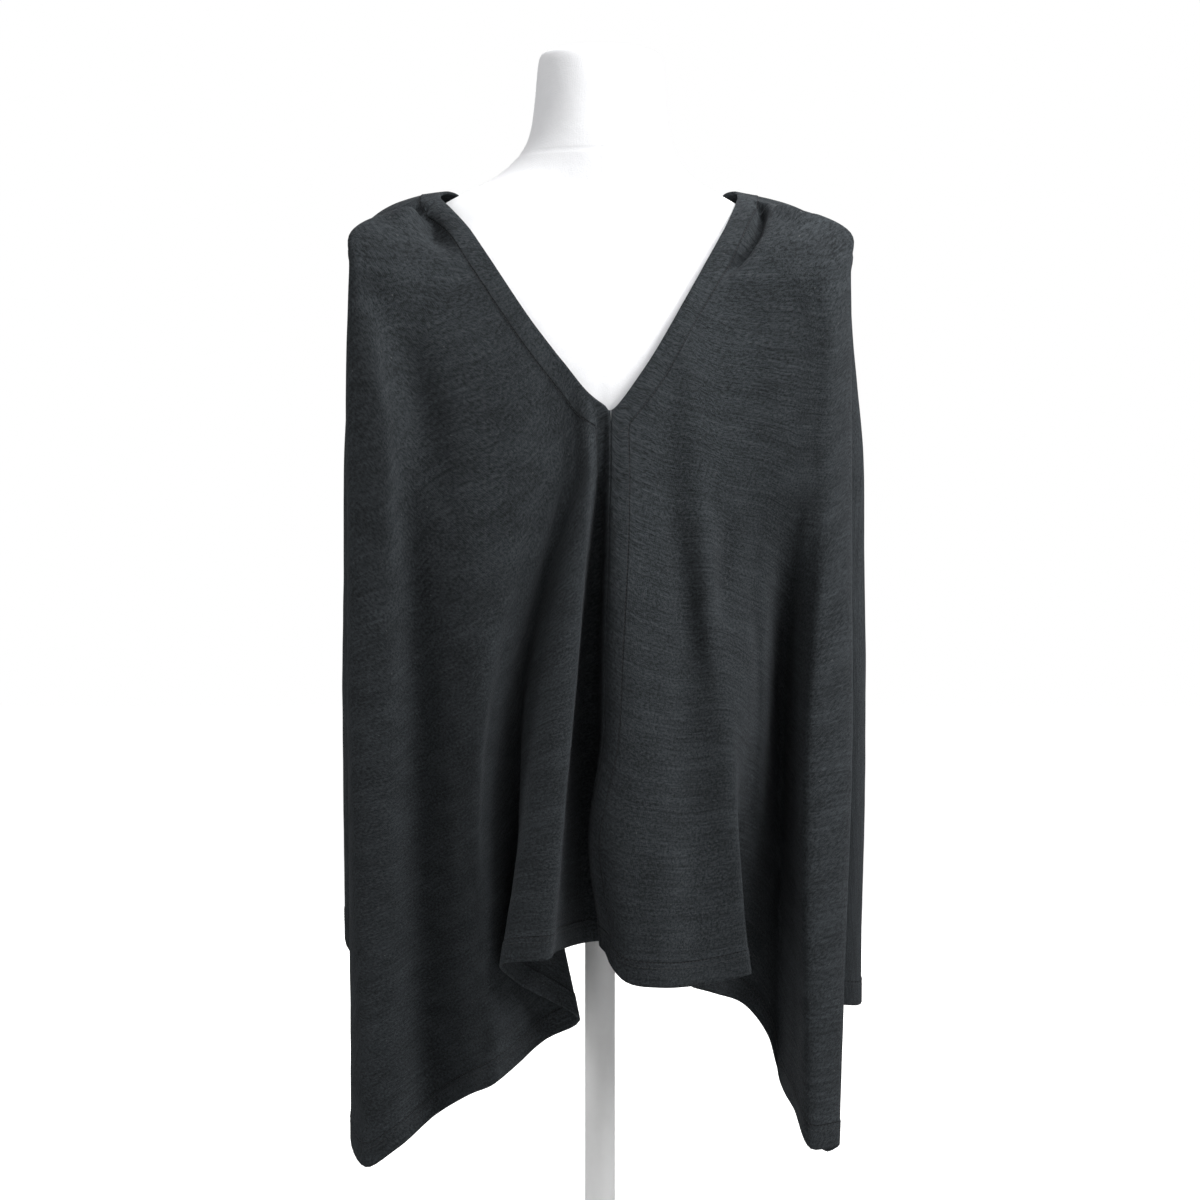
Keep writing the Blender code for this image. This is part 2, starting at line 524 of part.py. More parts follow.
def stand_base(finish):
    """A flat round base with a collar for the pole."""
    bore = POLE_RADIUS + POLE_CLEARANCE
    top = BASE_THICKNESS + COLLAR_HEIGHT
    profile = (
        (BASE_RADIUS - BASE_EDGE, 0.0),
        (BASE_RADIUS, BASE_EDGE),
        (BASE_RADIUS, BASE_THICKNESS - BASE_EDGE),
        (BASE_RADIUS - BASE_EDGE, BASE_THICKNESS),
        (COLLAR_RADIUS, BASE_THICKNESS),
        (COLLAR_RADIUS, top - COLLAR_EDGE),
        (COLLAR_RADIUS - COLLAR_EDGE, top),
        (bore, top),
        (bore, BASE_THICKNESS),
    )
    rings = [circle_ring(radius, height, ROUND_SEGMENTS) for radius, height in profile]
    loft("stand_base", rings, 0.0, BASE_THICKNESS, finish)


def main():
    """Builds the poncho, the form and its stand."""
    clear_scene()
    knit = material("charcoal_knit", (0.030, 0.032, 0.036), 0.92)
    cover = material("white_jersey_cover", (0.84, 0.84, 0.87), 0.85)
    coating = material("white_stand", (0.80, 0.80, 0.80), 0.45)
    poncho(knit)
    dress_form(cover)
    stand_pole(coating)
    stand_base(coating)


main()
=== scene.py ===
"""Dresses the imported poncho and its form: fine cloth on the fold lines, knit, stitching, jersey and a studio.

Metres, +Z up, the front faces -Y, as in the frame. Left and right are as seen from the front.
"""

import logging
import math
from dataclasses import dataclass
from enum import Enum, IntEnum
from typing import Any, ClassVar, NamedTuple

import bpy
import numpy as np
from bpy.types import Material, Node, NodeOutputs, NodeSocket, NodeTree, Object
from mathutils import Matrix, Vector, noise


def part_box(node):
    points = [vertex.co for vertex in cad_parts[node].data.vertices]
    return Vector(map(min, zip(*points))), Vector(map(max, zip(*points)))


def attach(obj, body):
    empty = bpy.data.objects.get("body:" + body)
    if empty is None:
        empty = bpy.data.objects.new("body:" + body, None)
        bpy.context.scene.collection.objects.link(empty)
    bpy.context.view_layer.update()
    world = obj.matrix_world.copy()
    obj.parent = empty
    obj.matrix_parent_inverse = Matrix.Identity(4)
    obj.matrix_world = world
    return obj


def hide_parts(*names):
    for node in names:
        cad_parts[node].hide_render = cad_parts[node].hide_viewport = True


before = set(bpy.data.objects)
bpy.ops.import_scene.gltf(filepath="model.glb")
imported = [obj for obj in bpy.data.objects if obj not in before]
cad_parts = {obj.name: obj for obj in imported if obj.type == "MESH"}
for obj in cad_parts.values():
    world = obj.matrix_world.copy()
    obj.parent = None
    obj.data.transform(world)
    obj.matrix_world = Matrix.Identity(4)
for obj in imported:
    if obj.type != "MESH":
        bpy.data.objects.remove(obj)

LOG = logging.getLogger("poncho")
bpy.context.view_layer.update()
BODY = "root"
TINY = 1e-9  # keeps a length from being divided by nothing


class Side(Enum):
    """One of the two panels, as seen from the front."""

    LEFT = "left"
    RIGHT = "right"


class Face(Enum):
    """The side that a crease is drawn on: (its two axes, depth axis, sign of the outward direction)."""

    FRONT = ((0, 2), 1, -1)
    BACK = ((0, 2), 1, 1)
    LEFT = ((1, 2), 0, -1)
    RIGHT = ((1, 2), 0, 1)
    TOP = ((0, 1), 2, 1)


# ---------------------------------------------------------------------------------------------
# the fold lines and creases of the cloth, finer than those of its solids
# ---------------------------------------------------------------------------------------------


class NeckPoint(NamedTuple):
    """A point of the neck edge, at a share of its way from the front point to the back point."""

    share: float
    height: float
    depth: float
    left: float
    right: float


# share, height, depth, left, right
NECK_EDGE = (
    NeckPoint(0.0, 0.7115, -0.1185, 0.0087, 0.0087),
    NeckPoint(0.03, 0.72, -0.117, -0.0028, 0.017),
    NeckPoint(0.12, 0.752, -0.109, -0.0302, 0.0392),
    NeckPoint(0.25, 0.8015, -0.093, -0.0665, 0.0676),
    NeckPoint(0.34, 0.8356, -0.0765, -0.0885, 0.0868),
    NeckPoint(0.43, 0.874, -0.044, -0.115, 0.1065),
    NeckPoint(0.47, 0.8935, -0.012, -0.132, 0.114),
    NeckPoint(0.5, 0.9, 0.008, -0.129, 0.113),
    NeckPoint(0.54, 0.9, 0.024, -0.1195, 0.104),
    NeckPoint(0.62, 0.874, 0.058, -0.098, 0.093),
    NeckPoint(0.78, 0.808, 0.096, -0.06, 0.061),
    NeckPoint(1.0, 0.735, 0.106, 0.004, 0.004),
)


class FoldLine(NamedTuple):
    """One crest, valley or turn of the cloth, from the neck edge past chest and waist to the hem.

    edge is the share of the neck edge at which it starts. lift raises it just below that edge, bulge moves
    its lower half sideways, shoulder is how far out it goes round the shoulder, run is how soon it comes
    away from the neck, and ease is the share of its slope kept at the chest, where the shoulder doesn't say.
    """

    name: str
    edge: float
    chest_x: float
    chest_y: float
    waist_x: float
    waist_y: float
    hem_x: float
    hem_y: float
    hem_z: float
    lift: float = 0.0
    bulge: float = 0.0
    shoulder: float = 0.0
    run: float = 1.0
    ease: float | None = None


F = FoldLine
# name, edge, chest_x, chest_y, waist_x, waist_y, hem_x, hem_y, hem_z, lift, bulge, shoulder, run, ease
FRONT_SEAM = F("front_seam", 0.0, 0.008, -0.128, 0.004, -0.131, 0.001, -0.111, 0.2825, bulge=-0.011)
BACK_SEAM = F("back_seam", 1.0, 0.004, 0.109, 0.004, 0.112, 0.004, 0.112, 0.3)
# from the front seam over the left shoulder to the back seam
LEFT_FOLDS = (
    F("valley_right", 0.014, 0.0045, -0.1165, -0.003, -0.086, -0.001, -0.07, 0.2845),
    F("valley_left", 0.026, 0.0005, -0.116, -0.013, -0.086, -0.0125, -0.068, 0.283),
    F("roll_face", 0.036, -0.001, -0.122, -0.0225, -0.115, -0.0355, -0.115, 0.28),
    F("roll_crest", 0.049, -0.004, -0.131, -0.022, -0.139, -0.041, -0.137, 0.2765),
    F("roll_edge", 0.067, -0.0095, -0.129, -0.044, -0.141, -0.079, -0.127, 0.272),
    F("tuck_front", 0.082, -0.012, -0.124, -0.059, -0.112, -0.067, -0.103, 0.255),
    F("tuck_turn", 0.096, -0.017, -0.1215, -0.064, -0.088, -0.0175, -0.07, 0.2199, bulge=0.004),
    F("tuck_back", 0.111, -0.026, -0.12, -0.07, -0.09, -0.043, -0.06, 0.204),
    F("tuck_side", 0.145, -0.04, -0.121, -0.088, -0.119, -0.083, -0.118, 0.1765),
    F("inner_crest", 0.22, -0.082, -0.126, -0.1, -0.127, -0.105, -0.095, 0.164),
    F("soft_valley", 0.35, -0.15, -0.107, -0.141, -0.093, -0.133, -0.07, 0.144, run=1.3),
    F("outer_crest", 0.41, -0.173, -0.112, -0.169, -0.11, -0.164, -0.098, 0.12, shoulder=0.186, run=1.5),
    F("front_tip", 0.445, -0.2005, -0.098, -0.1985, -0.101, -0.1885, -0.096, 0.1059, 0.005, 0, 0.2045, 2.1),
    F("front_turn", 0.458, -0.202, -0.07, -0.2015, -0.074, -0.201, -0.074, 0.13, 0.003, 0, 0.2065, 1.7),
    F("return_front", 0.468, -0.18, -0.05, -0.162, -0.056, -0.145, -0.056, 0.185, -0.003, 0, 0.203, 1.3),
    F("side_inner_front", 0.477, -0.164, -0.038, -0.137, -0.04, -0.105, -0.04, 0.215, -0.005, 0, 0.202, 1.1),
    F("return_side", 0.485, -0.182, -0.026, -0.162, -0.025, -0.145, -0.023, 0.245, -0.001, 0, 0.2045),
    F("flap_front", 0.493, -0.202, -0.02, -0.206, -0.019, -0.206, -0.02, 0.27, 0.002, 0, 0.2085),
    F("flap_middle", 0.503, -0.2125, -0.002, -0.214, 0.0, -0.211, 0.0, 0.287, 0.005, 0, 0.2115),
    F("flap_back", 0.513, -0.202, 0.018, -0.206, 0.02, -0.206, 0.022, 0.275, 0.006, 0, 0.2085),
    F("side_return", 0.525, -0.183, 0.026, -0.164, 0.028, -0.145, 0.029, 0.255, 0.004, 0, 0.205),
    F("side_inner_back", 0.537, -0.166, 0.039, -0.137, 0.043, -0.105, 0.044, 0.225, 0.006, 0, 0.203),
    F("return_back", 0.55, -0.182, 0.054, -0.162, 0.058, -0.148, 0.059, 0.185, 0.008, 0, 0.203),
    F("back_turn", 0.565, -0.2, 0.07, -0.201, 0.078, -0.2, 0.082, 0.15, 0.006, 0, 0.204),
    F("back_tip", 0.585, -0.197, 0.092, -0.197, 0.102, -0.188, 0.106, 0.14, 0.003, 0, 0.201),
    F("back_outer_valley", 0.65, -0.168, 0.1, -0.16, 0.088, -0.152, 0.084, 0.18),
    F("back_outer_crest", 0.72, -0.13, 0.122, -0.128, 0.144, -0.126, 0.162, 0.205),
    F("back_inner_valley", 0.8, -0.092, 0.104, -0.093, 0.088, -0.092, 0.076, 0.238),
    F("back_inner_crest", 0.88, -0.056, 0.122, -0.06, 0.146, -0.062, 0.164, 0.266),
    F("back_seam_valley", 0.95, -0.022, 0.107, -0.026, 0.098, -0.029, 0.093, 0.286),
)

# from the front seam over the right shoulder to the back seam
RIGHT_FOLDS = (
    F("band_crest", 0.04, 0.026, -0.1315, 0.025, -0.144, 0.02, -0.138, 0.259, bulge=-0.008),
    F("front_crest", 0.12, 0.043, -0.127, 0.046, -0.14, 0.0475, -0.144, 0.2552),
    F("shallow_valley", 0.18, 0.059, -0.122, 0.07, -0.128, 0.082, -0.129, 0.256),
    F("fold_edge", 0.24, 0.082, -0.124, 0.099, -0.128, 0.12, -0.122, 0.2634),
    F("tuck_front", 0.275, 0.096, -0.12, 0.111, -0.118, 0.096, -0.1, 0.256),
    F("tuck_turn", 0.295, 0.106, -0.117, 0.119, -0.106, 0.074, -0.084, 0.2496),
    F("tuck_back", 0.315, 0.117, -0.114, 0.126, -0.095, 0.093, -0.068, 0.242),
    F("valley_front", 0.34, 0.131, -0.111, 0.1345, -0.084, 0.119, -0.04, 0.229),
    F("valley_middle", 0.365, 0.144, -0.109, 0.143, -0.046, 0.139, -0.033, 0.201, ease=0.1),
    F("dark_valley", 0.39, 0.156, -0.1075, 0.151, -0.042, 0.148, -0.032, 0.165, run=1.2, ease=0.1),
    F("side_wall", 0.408, 0.168, -0.107, 0.157, -0.08, 0.1575, -0.074, 0.148, 0, 0, 0.178, 1.3, 0.1),
    F("side_front_crest", 0.43, 0.185, -0.105, 0.169, -0.115, 0.168, -0.107, 0.1225, shoulder=0.192, run=1.5),
    F("front_edge", 0.452, 0.2025, -0.084, 0.2015, -0.09, 0.1925, -0.087, 0.122, 0.005, 0, 0.2065, 2.1),
    F("front_tip", 0.463, 0.2015, -0.062, 0.1985, -0.066, 0.182, -0.068, 0.1151, 0.001, 0, 0.2065, 1.7),
    F("return_front", 0.472, 0.184, -0.046, 0.186, -0.048, 0.18, -0.047, 0.185, -0.004, 0, 0.204, 1.3),
    F("side_inner_front", 0.481, 0.17, -0.034, 0.172, -0.0335, 0.17, -0.033, 0.23, -0.005, 0, 0.2035, 1.1),
    F("return_side", 0.489, 0.187, -0.02, 0.186, -0.019, 0.184, -0.017, 0.228, -0.003, 0, 0.206),
    F("flap_front", 0.498, 0.209, -0.01, 0.213, -0.009, 0.213, -0.007, 0.225, 0.0, 0, 0.2085),
    F("flap_middle", 0.508, 0.22, 0.01, 0.2215, 0.013, 0.217, 0.018, 0.226, 0.002, 0, 0.214),
    F("flap_back", 0.52, 0.208, 0.029, 0.212, 0.033, 0.212, 0.039, 0.222, 0.003, 0, 0.209),
    F("side_return", 0.531, 0.186, 0.037, 0.163, 0.041, 0.156, 0.046, 0.225, 0.004, 0, 0.207),
    F("side_inner_back", 0.542, 0.163, 0.049, 0.132, 0.052, 0.115, 0.055, 0.238, 0.005, 0, 0.204),
    F("return_back", 0.555, 0.182, 0.062, 0.162, 0.066, 0.156, 0.07, 0.185, 0.006, 0, 0.204),
    F("back_turn", 0.57, 0.2, 0.076, 0.201, 0.084, 0.2, 0.09, 0.142, 0.005, 0, 0.204),
    F("back_tip", 0.59, 0.196, 0.096, 0.195, 0.108, 0.187, 0.116, 0.13, 0.003, 0, 0.2),
    F("back_outer_valley", 0.65, 0.16, 0.099, 0.15, 0.086, 0.14, 0.079, 0.206),
    F("back_outer_crest", 0.72, 0.119, 0.124, 0.112, 0.149, 0.106, 0.168, 0.238),
    F("back_inner_valley", 0.8, 0.081, 0.103, 0.078, 0.087, 0.076, 0.074, 0.262),
    F("back_inner_crest", 0.88, 0.046, 0.121, 0.046, 0.143, 0.047, 0.162, 0.284),
    F("back_seam_valley", 0.95, 0.023, 0.108, 0.022, 0.1, 0.022, 0.096, 0.295),
)


class Crease(NamedTuple):
    """A soft trough or ridge, drawn on one side of the garment.

    path is a line of (across, height) places, or (across, deep) on top; depth is positive for a ridge
    and negative for a trough, and start and end are the shares of the line over which it fades out.
    """

    face: Face
    width: float
    depth: float
    path: tuple[tuple[float, float], ...]
    start: float = 0.25
    end: float = 0.25


# how far the courses of each panel hang askew, for each metre across, and how much more near the shoulder
COURSE_SLANT = {Side.LEFT: 0.48, Side.RIGHT: 0.03}
SHOULDER_SLANT = {Side.LEFT: 0.0, Side.RIGHT: 0.5}
# the courses are straight at the front hem: the first slant grows over this length of the cut, and the
# second over the next
COURSE_FADE = 0.40
SHOULDER_FADE = 0.20

# face, width, depth, path, start, end
CREASES = (
    # left front: beside the neck band, the shoulder's crest and the fold that runs down from the shoulder
    Crease(
        Face.FRONT, 0.008, -0.012,
        ((-0.15, 0.897), (-0.141, 0.876), (-0.131, 0.856), (-0.114, 0.834)),
        0.05, 0.5,
    ),
    Crease(Face.TOP, 0.0065, 0.0055, ((-0.136, -0.044), (-0.154, -0.05), (-0.174, -0.056)), 0.2, 0.3),
    Crease(Face.TOP, 0.01, -0.0115, ((-0.142, -0.022), (-0.16, -0.026), (-0.18, -0.032)), 0.2, 0.3),
    Crease(Face.FRONT, 0.0055, 0.0025, ((-0.17, 0.864), (-0.152, 0.878), (-0.14, 0.892)), 0.3, 0.1),
    Crease(
        Face.FRONT, 0.02, -0.0075,
        ((-0.199, 0.833), (-0.184, 0.809), (-0.158, 0.754), (-0.142, 0.698), (-0.137, 0.643), (-0.136, 0.59)),
        0.1, 0.5,
    ),
    Crease(Face.FRONT, 0.011, 0.0016, ((-0.1, 0.7), (-0.108, 0.62), (-0.112, 0.56)), 0.4, 0.4),
    Crease(Face.FRONT, 0.009, -0.0018, ((-0.112, 0.37), (-0.104, 0.3), (-0.106, 0.24)), 0.4, 0.3),
    Crease(Face.FRONT, 0.014, -0.0022, ((-0.15, 0.3), (-0.146, 0.23), (-0.136, 0.17)), 0.4, 0.2),
    # right front: the gap beside the neck band, the crest, and a pair of troughs with a ridge between them
    Crease(
        Face.FRONT, 0.0044, -0.015,
        ((0.1335, 0.894), (0.1318, 0.878), (0.1265, 0.861), (0.1165, 0.844), (0.103, 0.827), (0.096, 0.815)),
        0.05, 0.35,
    ),
    Crease(Face.TOP, 0.0065, 0.0055, ((0.142, -0.036), (0.156, -0.048), (0.172, -0.062)), 0.2, 0.3),
    Crease(Face.TOP, 0.011, -0.011, ((0.15, -0.016), (0.168, -0.026), (0.186, -0.04)), 0.2, 0.4),
    Crease(
        Face.FRONT, 0.008, -0.003,
        ((0.0603, 0.64), (0.0634, 0.592), (0.0698, 0.545), (0.0769, 0.509), (0.088, 0.47)),
        0.3, 0.4,
    ),
    Crease(
        Face.FRONT, 0.007, 0.003,
        ((0.0817, 0.64), (0.0841, 0.576), (0.0864, 0.529), (0.0888, 0.48)),
        0.3, 0.4,
    ),
    Crease(
        Face.FRONT, 0.0075, -0.004,
        ((0.1007, 0.64), (0.1007, 0.592), (0.0983, 0.553), (0.0936, 0.521)),
        0.3, 0.4,
    ),
    Crease(
        Face.FRONT, 0.006, -0.004,
        ((-0.001, 0.372), (0.0025, 0.335), (0.004, 0.3), (0.003, 0.27)),
        0.4, 0.2,
    ),
    Crease(Face.FRONT, 0.012, -0.0014, ((0.17, 0.8), (0.14, 0.78), (0.105, 0.772)), 0.4, 0.4),
    Crease(Face.FRONT, 0.01, -0.0012, ((0.178, 0.77), (0.15, 0.752), (0.118, 0.748)), 0.4, 0.4),
    # back: long soft drags under the shoulders and short ones above the hem
    Crease(
        Face.BACK, 0.015, -0.004,
        ((-0.185, 0.835), (-0.15, 0.77), (-0.12, 0.69), (-0.108, 0.6)),
        0.2, 0.4,
    ),
    Crease(Face.BACK, 0.012, 0.0026, ((-0.14, 0.82), (-0.112, 0.745), (-0.094, 0.66)), 0.3, 0.4),
    Crease(
        Face.BACK, 0.015, -0.0038,
        ((0.182, 0.832), (0.152, 0.762), (0.128, 0.69), (0.112, 0.59)),
        0.2, 0.4,
    ),
    Crease(Face.BACK, 0.011, 0.0022, ((0.132, 0.815), (0.104, 0.74), (0.09, 0.64)), 0.3, 0.4),
    Crease(Face.BACK, 0.009, -0.0024, ((-0.072, 0.64), (-0.08, 0.54), (-0.078, 0.43)), 0.4, 0.4),
    Crease(Face.BACK, 0.008, -0.002, ((0.062, 0.6), (0.068, 0.5), (0.06, 0.38)), 0.4, 0.4),
    Crease(Face.BACK, 0.01, -0.002, ((0.02, 0.82), (0.012, 0.74), (0.016, 0.65)), 0.4, 0.5),
    # sides: drags that run down from the shoulder points
    Crease(Face.LEFT, 0.009, -0.0024, ((-0.052, 0.8), (-0.044, 0.68), (-0.05, 0.56)), 0.3, 0.4),
    Crease(Face.LEFT, 0.008, -0.002, ((0.056, 0.79), (0.048, 0.66), (0.054, 0.52)), 0.3, 0.4),
    Crease(Face.RIGHT, 0.009, -0.0024, ((-0.05, 0.79), (-0.046, 0.69), (-0.054, 0.56)), 0.3, 0.4),
    Crease(Face.RIGHT, 0.0085, -0.0022, ((0.06, 0.8), (0.05, 0.67), (0.058, 0.54)), 0.3, 0.4),
)


def smooth_step(value: np.ndarray) -> np.ndarray:
    """Eases a ramp of 0 to 1 in and out."""
    value = np.clip(value, 0.0, 1.0)
    return value * value * (3 - 2 * value)


def run_along(points: np.ndarray) -> np.ndarray:
    """Length from the first point to each of them."""
    return np.concatenate([[0.0], np.cumsum(np.linalg.norm(np.diff(points, axis=0), axis=1))])


class Column(IntEnum):
    """What each number of a mesh point stands for, after its x, y and z."""

    FROM_NECK = 3
    FROM_HEM = 4
    DOWN = 5
    ACROSS = 6
    ALONG = 7


def unit(vectors: np.ndarray) -> np.ndarray:
    """Vectors of length 1 in the given directions."""
    return vectors / np.maximum(np.linalg.norm(vectors, axis=-1, keepdims=True), TINY)


def hermite(
    t: np.ndarray | float,
    step: np.ndarray | float,
    start: np.ndarray,
    end: np.ndarray,
    start_slope: np.ndarray,
    end_slope: np.ndarray,
) -> np.ndarray:
    """A cubic from start to end with the given slopes.

    Args:
        t: Share of the way, 0 to 1.
        step: Length of the way, which scales the slopes.
        start: Value at the start.
        end: Value at the end.
        start_slope: Slope at the start.
        end_slope: Slope at the end.

    Returns:
        The value at t.
    """
    return (
        (2 * t**3 - 3 * t**2 + 1) * start
        + (t**3 - 2 * t**2 + t) * step * start_slope
        + (3 * t**2 - 2 * t**3) * end
        + (t**3 - t**2) * step * end_slope
    )


def ring_slopes(knots: np.ndarray, values: np.ndarray) -> np.ndarray:
    """Slopes of a smooth closed curve through values at uneven knots.

    Args:
        knots: Places of the values along the ring, one more than the values.
        values: One row for each knot.

    Returns:
        The slopes, in the shape of values.
    """
    before, after = np.roll(values, 1, axis=0), np.roll(values, -1, axis=0)
    shape = (-1,) + (1,) * (values.ndim - 1)
    step_after = np.diff(knots).reshape(shape)
    step_before = np.roll(step_after, 1, axis=0)
    slope_after = (after - values) / step_after
    slope_before = (values - before) / step_before
    return (slope_after * step_before + slope_before * step_after) / (step_before + step_after)


def column_hermite(
    knots: np.ndarray, values: np.ndarray, slopes: np.ndarray, at: np.ndarray
) -> np.ndarray:
    """Values of an open smooth curve at the given places.

    Args:
        knots: Places of the table's rows, rising.
        values: The table's rows.
        slopes: Slopes at the rows.
        at: Places to read.

    Returns:
        One row for each place.
    """
    index = np.clip(np.searchsorted(knots, at, side="right") - 1, 0, len(knots) - 2)
    step = (knots[index + 1] - knots[index])[:, None]
    t = (at - knots[index])[:, None] / step
    return hermite(t, step, values[index], values[index + 1], slopes[index], slopes[index + 1])


@dataclass(frozen=True)
class ClothSizes:
    """Sizes of the cloth and of the fine mesh that stands for it. Lengths are in metres."""

    neck_turning: float = 0.017
    hem_turning: float = 0.020
    turning_step: float = 0.0015
    widest_neck_turning: float = 0.034
    edge_step: float = 0.01
    line_step: int = 12
    least_slant: float = 0.1
    shoulder_crowding: float = 0.7
    crowding_sharpness: int = 4
    row_samples: int = 400
    sample_crowding: float = 1.6
    fall_centre: float = 3.0
    fall_shoulder: tuple[float, float] = (31.0, 34.0)
    fall_sharpness: int = 12
    depth_fall_least: float = 8.0
    lift_at: float = 0.045
    take_in: float = 0.022
    take_in_height: float = 0.815
    shoulder_point: float = 0.034
    shoulder_point_height: float = 0.850
    shoulder_point_reach: float = 0.016
    shoulder_clear: float = 0.190
    chest_height: float = 0.66
    waist_height: float = 0.46
    # the thin shell and its mesh
    thickness: float = 0.0014
    turned_out: float = 0.0005
    turned_in: float = 0.0007
    seam_gap: float = 0.0004
    column_spacing: float = 0.0060
    least_columns: int = 4
    open_rows: int = 118
    band_shares: tuple[float, ...] = (0.05, 0.14, 0.32, 0.55, 0.78, 0.92, 1.0)
    # the flat cut of a panel: its width, half its length, and half the neck's opening along it
    width: float = 0.55
    half_length: float = 0.69
    slit_half: float = 0.25


class FoldRing:
    """The cloth as a closed ring of fold lines, read at a fine mesh."""

    def __init__(self, sizes: ClothSizes) -> None:
        """Lays out the lines of both panels.

        Args:
            sizes: The cloth's sizes.
        """
        self.sizes = sizes
        self.lines = [(FRONT_SEAM, Side.LEFT)]
        self.lines += [(fold, Side.LEFT) for fold in LEFT_FOLDS]
        self.back_at = len(self.lines)
        self.lines += [(BACK_SEAM, Side.LEFT)]
        self.lines += [(fold, Side.RIGHT) for fold in reversed(RIGHT_FOLDS)]

    def neck_point(self, share: float, side: Side) -> np.ndarray:
        """Place of the neck edge.

        Args:
            share: Share of the way from the front point to the back point.
            side: The panel.

        Returns:
            The point.
        """
        knots = np.array([row.share for row in NECK_EDGE])
        places = np.array([(getattr(row, side.value), row.depth, row.height) for row in NECK_EDGE])
        slopes = np.gradient(places, knots, axis=0)
        return column_hermite(knots, places, slopes, np.array([share]))[0]

    def hanging_place(self, fold: FoldLine, z: np.ndarray, near_shoulder: float) -> np.ndarray:
        """Place of a fold line as it hangs through the chest, waist and hem.

        Args:
            fold: The fold line.
            z: Heights to read.
            near_shoulder: 1 on top of the shoulder, 0 at the middle of the front and back.

        Returns:
            (x, y) at each height.
        """
        s = self.sizes
        knots = np.array([fold.hem_z, s.waist_height, s.chest_height])
        places = np.array([
            (fold.hem_x, fold.hem_y), (fold.waist_x, fold.waist_y), (fold.chest_x, fold.chest_y),
        ])
        slopes = np.gradient(places, knots, axis=0)
        slopes[-1] *= 1 - near_shoulder if fold.ease is None else fold.ease
        hanging = column_hermite(knots, places, slopes, np.clip(z, fold.hem_z, s.chest_height))
        low = np.clip((s.waist_height - z) / (s.waist_height - fold.hem_z), 0.0, 1.0)
        hanging[:, 0] += fold.bulge * (4 * low * (1 - low)) ** 2
        rise = smooth_step((z - s.chest_height) / (s.take_in_height - s.chest_height))
        high = near_shoulder * rise
        out = s.shoulder_point * np.exp(-(((z - s.shoulder_point_height) / s.shoulder_point_reach) ** 2))
        if fold.shoulder:
            hanging[:, 0] += rise * (fold.shoulder - abs(fold.chest_x)) * math.copysign(1.0, fold.chest_x)
        else:
            room = max(s.shoulder_clear - abs(fold.chest_x), 0.0)
            hanging[:, 0] += high * math.copysign(room, fold.chest_x)
        hanging[:, 0] *= 1 + near_shoulder * out - s.take_in * high
        return hanging

    def curve(self, fold: FoldLine, side: Side) -> np.ndarray:
        """Points down one fold line, from the neck edge to the hem.

        Args:
            fold: The fold line.
            side: Its panel.

        Returns:
            The points, closer together near the neck.
        """
        s = self.sizes
        start = self.neck_point(fold.edge, side)
        near_shoulder = math.sin(math.pi * fold.edge) ** s.fall_sharpness
        fall_shoulder = s.fall_shoulder[0 if side is Side.LEFT else 1]
        fall = s.fall_centre + (fall_shoulder - s.fall_centre) * near_shoulder
        fall_x = fall * fold.run
        fall_y = max(fall, s.depth_fall_least)
        t = np.linspace(0.0, 1.0, s.row_samples) ** s.sample_crowding
        z = start[2] + (fold.hem_z - start[2]) * t
        hanging = self.hanging_place(fold, z, near_shoulder)
        x = hanging[:, 0] + (start[0] - hanging[0, 0]) * (1 - t) ** fall_x
        y = hanging[:, 1] + (start[1] - hanging[0, 1]) * (1 - t) ** fall_y
        raised = fold.lift * (t / s.lift_at) * np.exp(1 - t / s.lift_at)
        return np.stack([x, y, z + raised], axis=1)

    def neck_turning(self, curve: np.ndarray, fold: FoldLine, side: Side) -> float:
        """Length of the neck turning along a line that may leave the edge at a slant.

        Args:
            curve: Points down the line.
            fold: The fold line.
            side: Its panel.

        Returns:
            The length along the line.
        """
        s = self.sizes
        before, after = max(fold.edge - s.edge_step, 0.0), min(fold.edge + s.edge_step, 1.0)
        along = self.neck_point(after, side) - self.neck_point(before, side)
        down = curve[s.line_step] - curve[0]
        cosine = abs(along @ down) / (np.linalg.norm(along) * np.linalg.norm(down))
        sine = math.sqrt(max(1 - cosine**2, s.least_slant**2))
        return min(s.neck_turning / sine, s.widest_neck_turning)

    def line_rows(self, fold: FoldLine, side: Side) -> np.ndarray:
        """One fold line at the mesh rows.

        Args:
            fold: The fold line.
            side: Its panel.

        Returns:
            Rows of x, y, z, distance from the neck edge square to it, distance to the hem, share of
            the way down.
        """
        s = self.sizes
        curve = self.curve(fold, side)
        run = run_along(curve)
        neck_end = self.neck_turning(curve, fold, side)
        hem_start = run[-1] - s.hem_turning
        crowding = 1 + s.shoulder_crowding * math.sin(math.pi * fold.edge) ** s.crowding_sharpness
        share = np.linspace(0.0, 1.0, s.open_rows) ** crowding
        first, last = neck_end + s.turning_step, hem_start - s.turning_step
        band = np.array(s.band_shares)
        places = np.concatenate([
            band * neck_end, first + (last - first) * share, run[-1] - s.hem_turning * band[::-1],
        ])
        rows = [np.interp(places, run, curve[:, k]) for k in range(3)]
        square = places * s.neck_turning / neck_end
        return np.stack([*rows, square, run[-1] - places, places / run[-1]], axis=1)

